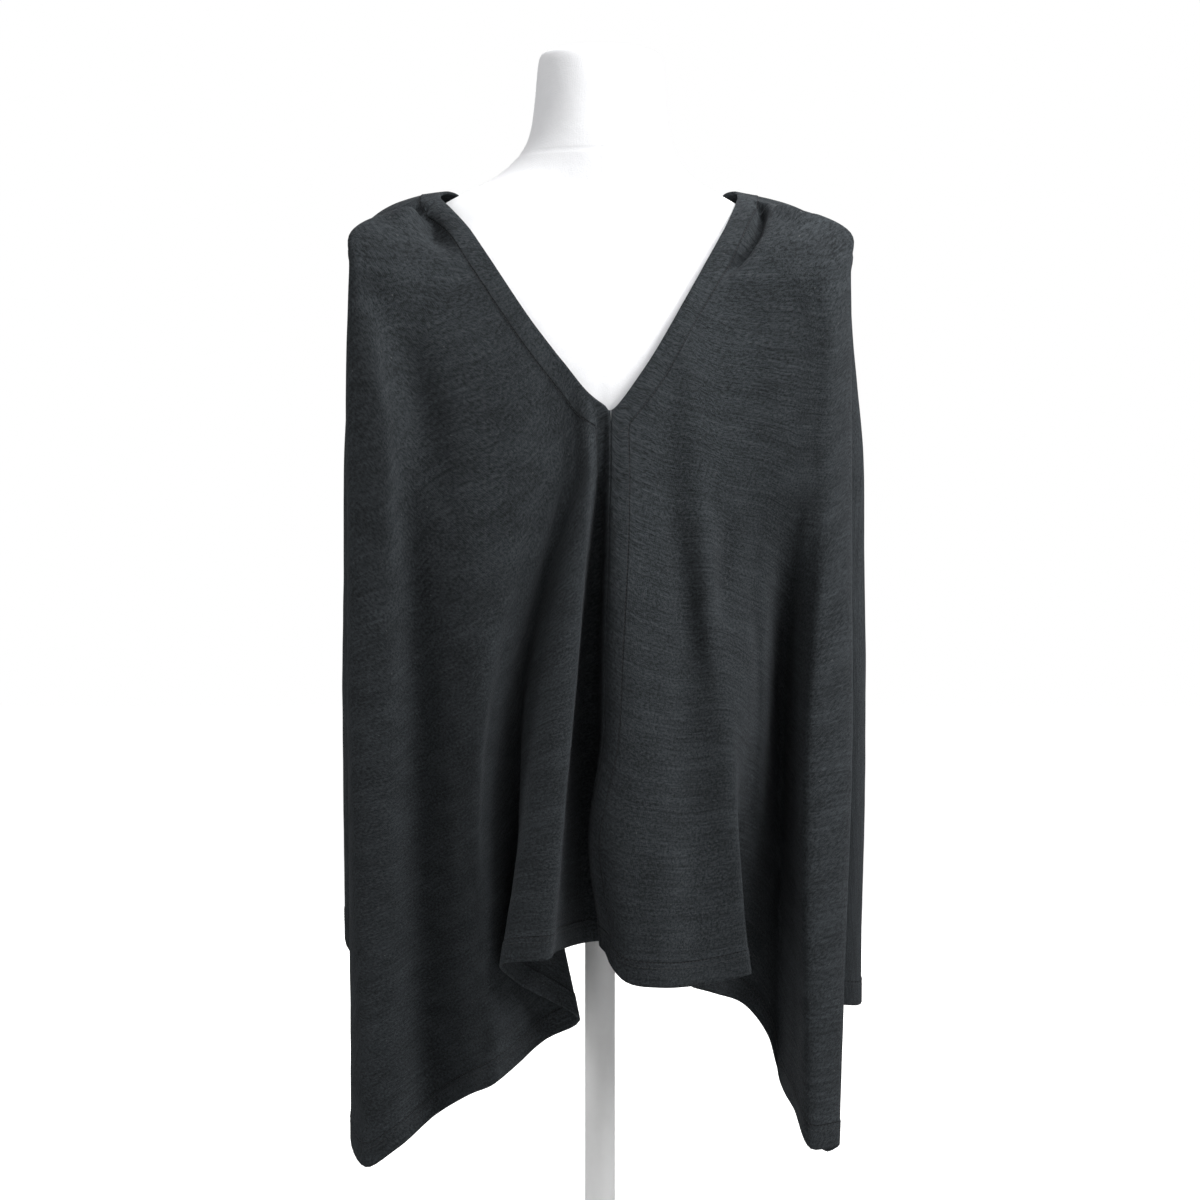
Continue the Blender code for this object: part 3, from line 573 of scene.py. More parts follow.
    def flat_places(self, rows: np.ndarray) -> np.ndarray:
        """Where each line runs on the flat cut of its panel.

        Args:
            rows: The lines' rows, (lines, rows, 6).

        Returns:
            For each line (across, along) at its start and at its end, (lines, 4).
        """
        s = self.sizes
        hem = rows[:, -1, :3]
        run = run_along(np.concatenate([hem, hem[:1]]))
        count = len(self.lines)
        flat = np.zeros((count, 4))
        for side in Side:
            if side is Side.LEFT:
                order = list(range(self.back_at + 1))
                lengths = run[order]
            else:
                order = [0, *range(count - 1, self.back_at - 1, -1)]
                lengths = (run[-1] - run[order]) % run[-1]
            names = [self.lines[i][0].name for i in order]
            tips = [lengths[names.index(name)] for name in ("front_tip", "back_tip")]
            corners = (0.0, *tips, lengths[-1])
            across = np.interp(lengths, corners, (0.0, s.width, s.width, 0.0))
            along = np.interp(lengths, corners, (0.0, 0.0, 2 * s.half_length, 2 * s.half_length))
            for k, i in enumerate(order):
                if side is Side.LEFT or i not in (0, self.back_at):
                    start = s.half_length + s.slit_half * (2 * self.lines[i][0].edge - 1)
                    flat[i] = (0.0, start, across[k], along[k])
        return flat

    def grid(self) -> tuple[np.ndarray, int, int]:
        """The whole ring of mesh columns.

        Returns:
            Columns of rows of (x, y, z, from neck, from hem, share down, across, along), and the
            numbers of the front and back seam columns.
        """
        s = self.sizes
        rows = np.array([self.line_rows(fold, side) for fold, side in self.lines])
        flat = self.flat_places(rows)
        start, end = flat[:, None, :2], flat[:, None, 2:]
        places = start + (end - start) * rows[:, :, Column.DOWN, None]
        rows = np.concatenate([rows, places], axis=2)
        hem = rows[:, -1, :3]
        chord = np.linalg.norm(np.roll(hem, -1, axis=0) - hem, axis=1)
        knots = np.concatenate([[0.0], np.cumsum(np.sqrt(chord))])
        slopes = ring_slopes(knots, rows)
        columns, seams = [], {}
        facts = slice(Column.FROM_NECK, None)
        for i in range(len(self.lines)):
            following = (i + 1) % len(self.lines)
            step = knots[i + 1] - knots[i]
            pieces = max(s.least_columns, round(chord[i] / s.column_spacing))
            if i in (0, self.back_at):
                seams[i] = len(columns)
            for piece in range(pieces):
                t = piece / pieces
                column = hermite(t, step, rows[i], rows[following], slopes[i], slopes[following])
                column[:, facts] = rows[i][:, facts] * (1 - t) + rows[following][:, facts] * t
                columns.append(column)
        return np.array(columns), seams[0], seams[self.back_at]


def ring_normals(points: np.ndarray) -> np.ndarray:
    """Unit normals of the closed ring of columns, facing outwards."""
    across = np.roll(points, -1, axis=0) - np.roll(points, 1, axis=0)
    return unit(np.cross(across, np.gradient(points, axis=1)))


def distance_to_path(
    points: np.ndarray, path: tuple[tuple[float, float], ...]
) -> tuple[np.ndarray, np.ndarray]:
    """How far points lie from a drawn line.

    Args:
        points: (..., 2) places.
        path: The line's corners.

    Returns:
        The distance, and the share of the line's length at the nearest place.
    """
    corners = np.array(path)
    run = run_along(corners)
    best = np.full(points.shape[:-1], np.inf)
    share = np.zeros(points.shape[:-1])
    for k in range(len(corners) - 1):
        leg = corners[k + 1] - corners[k]
        t = np.clip(((points - corners[k]) @ leg) / (leg @ leg), 0.0, 1.0)
        away = np.linalg.norm(points - corners[k] - t[..., None] * leg, axis=-1)
        nearer = away < best
        best = np.where(nearer, away, best)
        share = np.where(nearer, (run[k] + t * (run[k + 1] - run[k])) / run[-1], share)
    return best, share


@dataclass(frozen=True)
class Ripple:
    """Gentle unevenness of hanging cloth: two sizes of soft waves."""

    broad: float = 0.055
    broad_height: float = 0.0011
    broad_stretch: float = 0.45
    fine: float = 0.016
    fine_height: float = 0.00022
    fine_stretch: float = 0.7
    fine_offset: tuple[float, float, float] = (7.3, 1.9, 4.1)

    def height(self, points: np.ndarray) -> np.ndarray:
        """Waves at each point of the grid.

        Args:
            points: (columns, rows, 3) places.

        Returns:
            Heights, (columns, rows).
        """
        out = np.zeros(points.shape[:2])
        for c in range(points.shape[0]):
            for r in range(points.shape[1]):
                x, y, z = points[c, r]
                broad = noise.noise(Vector((x, y, z * self.broad_stretch)) / self.broad)
                place = Vector((x, y, z * self.fine_stretch)) / self.fine
                fine = noise.noise(place + Vector(self.fine_offset))
                out[c, r] = self.broad_height * broad + self.fine_height * fine
        return out


class Cloth:
    """The garment's whole surface with its creases, ready to be parted into panels."""

    CREASE_TURN, CREASE_TURN_FADE = 0.15, 0.3  # how far the cloth must face a crease's side to have it
    CREASE_DEPTH, CREASE_DEPTH_FADE = 0.012, 0.012  # and how far it must lie towards that side
    NECK_FADE = 0.018  # the neck edge keeps its line

    def __init__(self, sizes: ClothSizes, ripple: Ripple) -> None:
        """Reads the fold lines and draws the creases into them.

        Args:
            sizes: The cloth's sizes.
            ripple: The cloth's unevenness.
        """
        self.sizes = sizes
        self.columns, self.front, self.back = FoldRing(sizes).grid()
        points = self.columns[:, :, :3]
        normals = ring_normals(points)
        lift = ripple.height(points)
        for crease in CREASES:
            lift += self.crease_height(crease, points, normals)
        fade = smooth_step(self.columns[:, :, Column.FROM_NECK] / self.NECK_FADE)
        self.points = points + normals * (lift * fade)[..., None]
        self.normals = ring_normals(self.points)

    def crease_height(self, crease: Crease, points: np.ndarray, normals: np.ndarray) -> np.ndarray:
        """Height of one crease over the grid.

        Args:
            crease: The crease.
            points: The grid's places.
            normals: The grid's normals.

        Returns:
            Heights, (columns, rows).
        """
        axes, depth, sign = crease.face.value
        away, share = distance_to_path(points[..., list(axes)], crease.path)
        facing = smooth_step((normals[..., depth] * sign - self.CREASE_TURN) / self.CREASE_TURN_FADE)
        near = smooth_step((points[..., depth] * sign - self.CREASE_DEPTH) / self.CREASE_DEPTH_FADE)
        ends = smooth_step(share / crease.start) * smooth_step((1 - share) / crease.end)
        return crease.depth * np.exp(-((away / crease.width) ** 2)) * ends * facing * near

    def panel_columns(self, side: Side) -> np.ndarray:
        """Column numbers of one panel.

        Args:
            side: The panel.

        Returns:
            The numbers, from seam to seam in the ring's order.
        """
        count = len(self.columns)
        first, last = (self.front, self.back) if side is Side.LEFT else (self.back, count + self.front)
        return np.arange(first, last + 1) % count


QUARTER_TURN = math.radians(90)


def select_none() -> None:
    """Deselects everything, which the operators would otherwise act on too."""
    bpy.ops.object.select_all(action="DESELECT")
    bpy.context.view_layer.objects.active = None


def make_active(obj: Object) -> None:
    """Selects one object alone.

    Args:
        obj: The object.
    """
    select_none()
    obj.select_set(True)
    bpy.context.view_layer.objects.active = obj


def apply_modifier(obj: Object, kind: str, **settings: Any) -> None:
    """Adds a modifier to the active object and applies it.

    Args:
        obj: The object.
        kind: The modifier's type.
        **settings: Its properties.
    """
    modifier = obj.modifiers.new("shaping", kind)
    for name, value in settings.items():
        setattr(modifier, name, value)
    bpy.ops.object.modifier_apply(modifier=modifier.name)


def new_piece(name: str, points: np.ndarray, faces: list[tuple[int, ...]], finish: Material) -> Object:
    """Makes a smooth piece of a mesh.

    Args:
        name: Its name.
        points: Its points.
        faces: Corner numbers of each face.
        finish: Its material.

    Returns:
        The new object, in the scene.
    """
    mesh = bpy.data.meshes.new(name)
    mesh.from_pydata(points.tolist(), [], faces)
    mesh.validate()
    mesh.shade_smooth()
    mesh.materials.append(finish)
    piece = bpy.data.objects.new(name, mesh)
    bpy.context.scene.collection.objects.link(piece)
    return piece


class Panel:
    """One panel of the poncho: a thin closed shell with turned and stitched edges."""

    RIM_ANGLES = (math.radians(45), math.radians(90), math.radians(135))

    def __init__(self, cloth: Cloth, side: Side) -> None:
        """Takes the panel's part of the cloth.

        Args:
            cloth: The whole cloth.
            side: Which panel.
        """
        self.sizes = cloth.sizes
        self.side = side
        order = cloth.panel_columns(side)
        self.points = cloth.points[order].copy()
        self.normals = cloth.normals[order].copy()
        facts = cloth.columns[order]
        self.from_neck, self.from_hem = facts[..., Column.FROM_NECK], facts[..., Column.FROM_HEM]
        self.across, self.along = facts[..., Column.ACROSS], facts[..., Column.ALONG]
        steps = np.linalg.norm(np.diff(self.points, axis=0), axis=2)
        run = np.concatenate([np.zeros((1, steps.shape[1])), np.cumsum(steps, axis=0)])
        self.from_seam = np.minimum(run, run[-1] - run)
        self.part_seams()

    def part_seams(self) -> None:
        """Moves the two seam columns back by half the gap between the panels."""
        for end, beside in ((0, 1), (-1, -2)):
            inward = self.points[beside] - self.points[end]
            inward -= (inward * self.normals[end]).sum(axis=1, keepdims=True) * self.normals[end]
            self.points[end] += unit(inward) * self.sizes.seam_gap / 2

    def walls(self) -> tuple[np.ndarray, np.ndarray]:
        """Surfaces of the shell.

        Returns:
            Its outer and its inner points.
        """
        s = self.sizes
        edge = np.minimum(self.from_neck, self.from_seam)
        neck = 1 - smooth_step((edge - s.neck_turning) / s.turning_step)
        hem = 1 - smooth_step((self.from_hem - s.hem_turning) / s.turning_step)
        turned = np.maximum(neck, hem)[..., None]
        outer = self.points + self.normals * s.turned_out * turned
        inner = self.points - self.normals * (s.thickness + s.turned_in * turned)
        return outer, inner

    def loop_points(self, outer: np.ndarray, inner: np.ndarray) -> np.ndarray:
        """Points round the shell's section at each column: down the outside and up the inside.

        Args:
            outer: Outer points.
            inner: Inner points.

        Returns:
            (columns, loop, 3) places.
        """
        columns = []
        for c in range(len(outer)):
            loop = list(outer[c])
            for end, beside, sign in ((-1, -2, 1), (0, 1, -1)):
                middle, half = (outer[c, end] + inner[c, end]) / 2, (outer[c, end] - inner[c, end]) / 2
                out = unit(outer[c, end] - outer[c, beside]) * np.linalg.norm(half)
                loop += [
                    middle + sign * half * math.cos(angle) + out * math.sin(angle)
                    for angle in self.RIM_ANGLES
                ]
                if end == -1:
                    loop += list(inner[c][::-1])
            columns.append(loop)
        return np.array(columns)

    def faces(self, columns: int, rows: int, loop: int) -> list[tuple[int, ...]]:
        """Faces of the shell, with caps at its two ends, where a rim has three points.

        Args:
            columns: Number of columns.
            rows: Rows on one side of the cloth.
            loop: Points round a column.

        Returns:
            Corner numbers of each face.
        """
        faces: list[tuple[int, ...]] = []
        for c in range(columns - 1):
            a, b = c * loop, (c + 1) * loop
            for m in range(loop):
                n = (m + 1) % loop
                faces.append((a + m, b + m, b + n, a + n))
        inner_first = rows + len(self.RIM_ANGLES)
        for c, flip in ((0, False), (columns - 1, True)):
            base = c * loop
            cap = []
            for r in range(rows - 1):
                far = inner_first + rows - 1
                cap.append((base + r, base + r + 1, base + far - r - 1, base + far - r))
            cap.append((base + rows - 1, base + rows, base + rows + 2, base + inner_first))
            cap.append((base + rows, base + rows + 1, base + rows + 2))
            last = inner_first + rows
            cap.append((base + last - 1, base + last, base + last + 2, base))
            cap.append((base + last, base + last + 1, base + last + 2))
            faces += [tuple(reversed(face)) for face in cap] if flip else cap
        return faces

    def build(self, knit: Material) -> Object:
        """Makes the panel's mesh.

        Args:
            knit: Its material.

        Returns:
            The new object.
        """
        outer, inner = self.walls()
        points = self.loop_points(outer, inner)
        columns, loop = points.shape[:2]
        rows, rim = outer.shape[1], len(self.RIM_ANGLES)
        faces = self.faces(columns, rows, loop)
        panel = new_piece(f"{self.side.value}_panel_cloth", points.reshape(-1, 3), faces, knit)
        mesh = panel.data
        order = list(range(rows)) + [rows - 1] * rim + list(range(rows - 1, -1, -1)) + [0] * rim
        edge = np.minimum(self.from_neck, self.from_seam)
        for name, values in (("edge_distance", edge), ("hem_distance", self.from_hem)):
            layer = mesh.attributes.new(name, "FLOAT", "POINT")
            layer.data.foreach_set("value", values[:, order].astype(np.float32).ravel())
        pull = COURSE_SLANT[self.side] * self.across * smooth_step(self.along / COURSE_FADE)
        near_shoulder = smooth_step((self.along - COURSE_FADE) / SHOULDER_FADE)
        pull += SHOULDER_SLANT[self.side] * self.across * near_shoulder
        flat = np.stack([self.across, self.along + pull], axis=2)[:, order].reshape(-1, 2)
        corner = np.empty(len(mesh.loops), np.int32)
        mesh.loops.foreach_get("vertex_index", corner)
        layer = mesh.uv_layers.new(name="flat_cut")
        layer.data.foreach_set("uv", flat[corner].astype(np.float32).ravel())
        return panel


class StitchRun(NamedTuple):
    """A line that a row of stitches follows, with the cloth's normals."""

    points: np.ndarray
    normals: np.ndarray


def read_at(at: float, run: np.ndarray, vectors: np.ndarray) -> np.ndarray:
    """The vector at a length along a run of them."""
    return np.array([np.interp(at, run, vectors[:, k]) for k in range(3)])


@dataclass(frozen=True)
class Stitching:
    """Rows of small machine stitches along a panel's turned edges."""

    pitch: float = 0.0032
    length: float = 0.0025
    width: float = 0.00062
    height: float = 0.00045
    hem_rows: tuple[float, ...] = (0.0150, 0.0192)
    sides: int = 6
    rings: int = 4

    def level_line(
        self, distances: np.ndarray, level: float, points: np.ndarray, normals: np.ndarray
    ) -> StitchRun:
        """The line where a distance over a grid reaches a level.

        Args:
            distances: One for each place of the grid, rising or falling along each of its lines.
            level: The distance.
            points: The grid's points.
            normals: The grid's normals.

        Returns:
            The line across the grid.
        """
        line = []
        for distance, place, normal in zip(distances, points, normals):
            over = distance >= level
            change = np.nonzero(over[1:] != over[:-1])[0]
            if not len(change):
                continue
            k = change[-1] if over[0] else change[0]
            t = (level - distance[k]) / (distance[k + 1] - distance[k])
            line.append([grid[k] * (1 - t) + grid[k + 1] * t for grid in (place, normal)])
        return StitchRun(*np.array(line).swapaxes(0, 1))

    def seam_line(self, panel: Panel, outer: np.ndarray, front: bool) -> StitchRun:
        """The line beside the front or back seam.

        Args:
            panel: The panel.
            outer: Its outer points.
            front: Whether it is the front seam.

        Returns:
            The line down the rows.
        """
        s = panel.sizes
        away = slice(None, None, -1 if front != (panel.side is Side.LEFT) else 1)
        joined = (panel.from_neck[0] >= s.neck_turning) & (panel.from_hem[0] >= s.hem_turning)
        distances, points, normals = (
            grid[away][:, joined].swapaxes(0, 1) for grid in (panel.from_seam, outer, panel.normals)
        )
        return self.level_line(distances, s.neck_turning, points, normals)

    def stitch_shape(self) -> tuple[np.ndarray, list[tuple[int, ...]]]:
        """One stitch lying along X, modelled from a ball 1 m across.

        Returns:
            Its points and its faces.
        """
        select_none()
        bpy.ops.mesh.primitive_uv_sphere_add(segments=self.sides, ring_count=self.rings, radius=0.5)
        ball = bpy.context.active_object
        bpy.ops.object.mode_set(mode="EDIT")
        bpy.ops.mesh.select_all(action="SELECT")
        bpy.ops.transform.rotate(value=QUARTER_TURN, orient_axis="Y", center_override=(0, 0, 0))
        bpy.ops.transform.resize(value=(self.length, self.width, self.height))
        bpy.ops.object.mode_set(mode="OBJECT")
        points = np.array([v.co[:] for v in ball.data.vertices])
        faces = [tuple(face.vertices) for face in ball.data.polygons]
        bpy.data.objects.remove(ball)
        return points, faces

    def build(self, panel: Panel, thread: Material) -> Object:
        """Sews all the rows of one panel.

        Args:
            panel: The panel.
            thread: The thread's material.

        Returns:
            The joined stitches.
        """
        outer, _ = panel.walls()
        runs = [self.level_line(panel.from_neck, panel.sizes.neck_turning, outer, panel.normals)]
        runs += [self.seam_line(panel, outer, front) for front in (True, False)]
        runs += [self.level_line(panel.from_hem, level, outer, panel.normals) for level in self.hem_rows]
        shape, shape_faces = self.stitch_shape()
        points, faces = [], []
        for run in runs:
            length = run_along(run.points)
            for at in np.arange(self.pitch, length[-1] - self.pitch, self.pitch):
                place = read_at(at, length, run.points)
                along = unit(read_at(at + self.length / 2, length, run.points) - place)
                side = unit(np.cross(read_at(at, length, run.normals), along))
                base = len(points) * len(shape)
                points.append(place + shape @ np.array([along, side, np.cross(along, side)]))
                faces += [tuple(base + v for v in face) for face in shape_faces]
        return new_piece(f"{panel.side.value}_panel_stitching", np.concatenate(points), faces, thread)


# ---------------------------------------------------------------------------------------------
# finishes
# ---------------------------------------------------------------------------------------------

Feed = NodeSocket | float | tuple[float, ...]  # what an input of a node can take
Inputs = dict[str | int, Feed]  # the same for each input's name or number
Triple = tuple[float, float, float]  # a colour, a stretch, or the scale, detail and roughness of a noise
Ends = tuple[float, float]  # the low and high ends of a ramp


def opaque(colour: Feed) -> Feed:
    """Adds the fourth number to a plain colour, and leaves a socket as it is."""
    return (*colour, 1.0) if isinstance(colour, tuple) else colour


class NodeBench:
    """Adds and joins shader nodes in one tree."""

    def __init__(self, tree: NodeTree) -> None:
        """Starts in a tree."""
        self.tree = tree

    def add(self, kind: str, inputs: Inputs | None = None, **settings: Any) -> Node:
        """Adds a node.

        Args:
            kind: The node's type name.
            inputs: What its inputs take, by name or number.
            **settings: Its properties.

        Returns:
            The node.
        """
        node = self.tree.nodes.new(kind)
        for name, value in settings.items():
            setattr(node, name, value)
        self.feed(node, inputs or {})
        return node

    def feed(self, node: Node, inputs: Inputs) -> None:
        """Sets or links inputs.

        Args:
            node: The node.
            inputs: A socket to link, or a plain value, for each input's name or number.
        """
        for name, value in inputs.items():
            if isinstance(value, NodeSocket):
                self.tree.links.new(value, node.inputs[name])
            else:
                node.inputs[name].default_value = value

    def math(self, operation: str, *terms: Feed) -> NodeSocket:
        """The output of a Math node with the given terms."""
        return self.add("ShaderNodeMath", dict(enumerate(terms)), operation=operation).outputs[0]

    def weighted(self, *terms: tuple[NodeSocket, float]) -> NodeSocket:
        """A sum of values times their weights.

        Args:
            *terms: Each value and its weight.

        Returns:
            Its output socket.
        """
        (value, weight), *others = terms
        total = self.math("MULTIPLY", value, weight)
        for value, weight in others:
            total = self.math("MULTIPLY_ADD", value, weight, total)
        return total

    def ramp(
        self, value: Feed, low: float, high: float, to_low: float = 0.0, to_high: float = 1.0
    ) -> NodeSocket:
        """A clamped smooth Map Range.

        Args:
            value: The value to map.
            low: Input at the low end.
            high: Input at the high end.
            to_low: Output at the low end.
            to_high: Output at the high end.

        Returns:
            Its output socket.
        """
        inputs = {"Value": value, "From Min": low, "From Max": high, "To Min": to_low, "To Max": to_high}
        node = self.add("ShaderNodeMapRange", inputs, interpolation_type="SMOOTHSTEP", clamp=True)
        return node.outputs["Result"]

    def mix(self, share: Feed, first: Feed, second: Feed) -> NodeSocket:
        """A colour Mix node.

        Args:
            share: Share of the second colour.
            first: First colour.
            second: Second colour.

        Returns:
            Its output socket.
        """
        inputs = {0: share, 6: opaque(first), 7: opaque(second)}
        return self.add("ShaderNodeMix", inputs, data_type="RGBA").outputs[2]

    def noise(
        self,
        vector: Feed,
        scale: float,
        detail: float = 2.0,
        roughness: float = 0.5,
        stretch: Triple | None = None,
    ) -> NodeSocket:
        """A Noise Texture.

        Args:
            vector: Its coordinates.
            scale: Its scale.
            detail: Its detail.
            roughness: Its roughness.
            stretch: What its coordinates are multiplied by first.

        Returns:
            Its factor socket.
        """
        if stretch:
            scaling = self.add("ShaderNodeVectorMath", {0: vector, 1: stretch}, operation="MULTIPLY")
            vector = scaling.outputs[0]
        inputs = {"Vector": vector, "Scale": scale, "Detail": detail, "Roughness": roughness}
        return self.add("ShaderNodeTexNoise", inputs).outputs["Fac"]

    def bump(self, height: Feed, strength: float, distance: float = 1.0) -> NodeSocket:
        """The normal from a Bump node over a height."""
        inputs = {"Strength": strength, "Distance": distance, "Height": height}
        return self.add("ShaderNodeBump", inputs).outputs[0]

    def place(self) -> NodeSocket:
        """The place on the object, in metres."""
        return self.add("ShaderNodeTexCoord").outputs["Object"]

    def distance(self, name: str) -> NodeSocket:
        """A distance kept in the mesh."""
        return self.add("ShaderNodeAttribute", attribute_name=name).outputs["Fac"]

    def group(self, tree: NodeTree, inputs: Inputs) -> NodeOutputs:
        """The outputs of a node group fed with the given inputs."""
        return self.add("ShaderNodeGroup", inputs, node_tree=tree).outputs


@dataclass(frozen=True)
class NodePattern:
    """A node group; each kind says its sockets and how its outputs are made."""

    NAME: ClassVar[str]
    INPUTS: ClassVar[dict[str, str]]
    OUTPUTS: ClassVar[tuple[str, ...]]

    def make(self) -> NodeTree:
        """Builds the group.

        Returns:
            The group's tree.
        """
        tree = bpy.data.node_groups.new(self.NAME, "ShaderNodeTree")
        for label, kind in self.INPUTS.items():
            tree.interface.new_socket(label, in_out="INPUT", socket_type=f"NodeSocket{kind}")
        for label in self.OUTPUTS:
            tree.interface.new_socket(label, in_out="OUTPUT", socket_type="NodeSocketFloat")
        bench = NodeBench(tree)
        given = bench.add("NodeGroupInput").outputs
        bench.feed(bench.add("NodeGroupOutput"), self.values(bench, given))
        return tree

    def values(self, bench: NodeBench, given: NodeOutputs) -> Inputs:
        """What the group gives out.

        Args:
            bench: Adds nodes to the group.
            given: The group's inputs.

        Returns:
            The value of each output.
        """
        raise NotImplementedError


@dataclass(frozen=True)
class LoopPattern(NodePattern):
    """Rows of knitted loops, as a height. The flat cut and the loop's size are in metres."""

    NAME = "knitted_loops"
    INPUTS = {"Flat": "Vector", "Loop Width": "Float", "Loop Height": "Float", "Wander": "Float"}
    OUTPUTS = ("Height",)

    wander_scale: float = 140.0
    course_dip: float = 1.6
    rib_share: float = 0.55
    loop_share: float = 0.45

    def values(self, bench: NodeBench, given: NodeOutputs) -> Inputs:
        """The height of the loops.

        Args:
            bench: Adds nodes to the group.
            given: The group's inputs.

        Returns:
            The value of each output.
        """
        parts = bench.add("ShaderNodeSeparateXYZ", {0: given["Flat"]}).outputs
        drift = bench.math("SUBTRACT", bench.noise(given["Flat"], self.wander_scale), 0.5)
        drift = bench.math("MULTIPLY", drift, given["Wander"])
        wale = bench.math("ADD", bench.math("DIVIDE", parts[0], given["Loop Width"]), drift)
        rib = bench.math("PINGPONG", wale, 0.5)
        course = bench.math("ADD", bench.math("DIVIDE", parts[1], given["Loop Height"]), drift)
        course = bench.math("MULTIPLY_ADD", rib, self.course_dip, course)
        loop = bench.math("PINGPONG", course, 0.5)
        rib, loop = (bench.math("SQRT", bench.math("MULTIPLY", part, 2.0)) for part in (rib, loop))
        return {"Height": bench.weighted((rib, self.rib_share), (loop, self.loop_share))}


@dataclass(frozen=True)
class HeatherPattern(NodePattern):
    """Unevenness of a melange yarn: the tone of each loop, thick places along the courses, light fibres."""

    NAME = "heathered_yarn"
    INPUTS = {"Flat": "Vector"}
    OUTPUTS = ("Tone", "Slub", "Streak", "Fibre")

    grain: Triple = (460.0, 4.0, 0.85)
    patch: Triple = (42.0, 2.0, 0.5)
    grain_share: float = 0.85
    patch_share: float = 0.15
    tone_ends: Ends = (0.36, 0.64)
    long_slub: Triple = (1.0, 2.0, 0.6)
    long_slub_stretch: Triple = (16.0, 420.0, 1.0)
    long_slub_share: float = 0.6
    short_slub: Triple = (1.0, 1.0, 0.5)
    short_slub_stretch: Triple = (60.0, 520.0, 1.0)
    short_slub_share: float = 0.4
    slub_ends: Ends = (0.42, 0.66)
    streak: Triple = (1.0, 2.0, 0.55)
    streak_stretch: Triple = (15.0, 165.0, 1.0)
    streak_ends: Ends = (0.36, 0.64)
    fibre_scale: float = 360.0
    fibre_ends: Ends = (0.08, 0.24)
    fibre_chance: Ends = (0.975, 0.99)

    def values(self, bench: NodeBench, given: NodeOutputs) -> Inputs:
        """The yarn's tone, slubs, streaks and fibres.

        Args:
            bench: Adds nodes to the group.
            given: The group's inputs.

        Returns:
            The value of each output.
        """
        flat = given["Flat"]
        grain, patch = bench.noise(flat, *self.grain), bench.noise(flat, *self.patch)
        tone = bench.weighted((grain, self.grain_share), (patch, self.patch_share))
        long_slub = bench.noise(flat, *self.long_slub, stretch=self.long_slub_stretch)
        short_slub = bench.noise(flat, *self.short_slub, stretch=self.short_slub_stretch)
        slub = bench.weighted((long_slub, self.long_slub_share), (short_slub, self.short_slub_share))
        streak = bench.noise(flat, *self.streak, stretch=self.streak_stretch)
        cells = bench.add("ShaderNodeTexVoronoi", {"Vector": flat, "Scale": self.fibre_scale}, feature="F1")
        speck = bench.ramp(cells.outputs["Distance"], *self.fibre_ends, 1.0, 0.0)
        chance = bench.add("ShaderNodeSeparateColor", {0: cells.outputs["Color"]}).outputs[0]
        return {
            "Tone": bench.ramp(tone, *self.tone_ends),
            "Slub": bench.ramp(slub, *self.slub_ends),
            "Streak": bench.ramp(streak, *self.streak_ends),
            "Fibre": bench.math("MULTIPLY", speck, bench.ramp(chance, *self.fibre_chance)),
        }


@dataclass(frozen=True)
class Finish:
    """A procedural material; each kind says what its shader takes."""

    NAME: ClassVar[str]

    def make(self, **patterns: NodeTree) -> Material:
        """Builds the material.

        Args:
            **patterns: The node groups that it uses.

        Returns:
            The material.
        """
        made = bpy.data.materials.new(self.NAME)
        made.use_nodes = True
        bench = NodeBench(made.node_tree)
        bench.feed(made.node_tree.nodes["Principled BSDF"], self.inputs(bench, **patterns))
        return made

    def inputs(self, bench: NodeBench) -> Inputs:
        """What the shader takes.

        Args:
            bench: Adds nodes to the material.

        Returns:
            The value of each input.
        """
        raise NotImplementedError


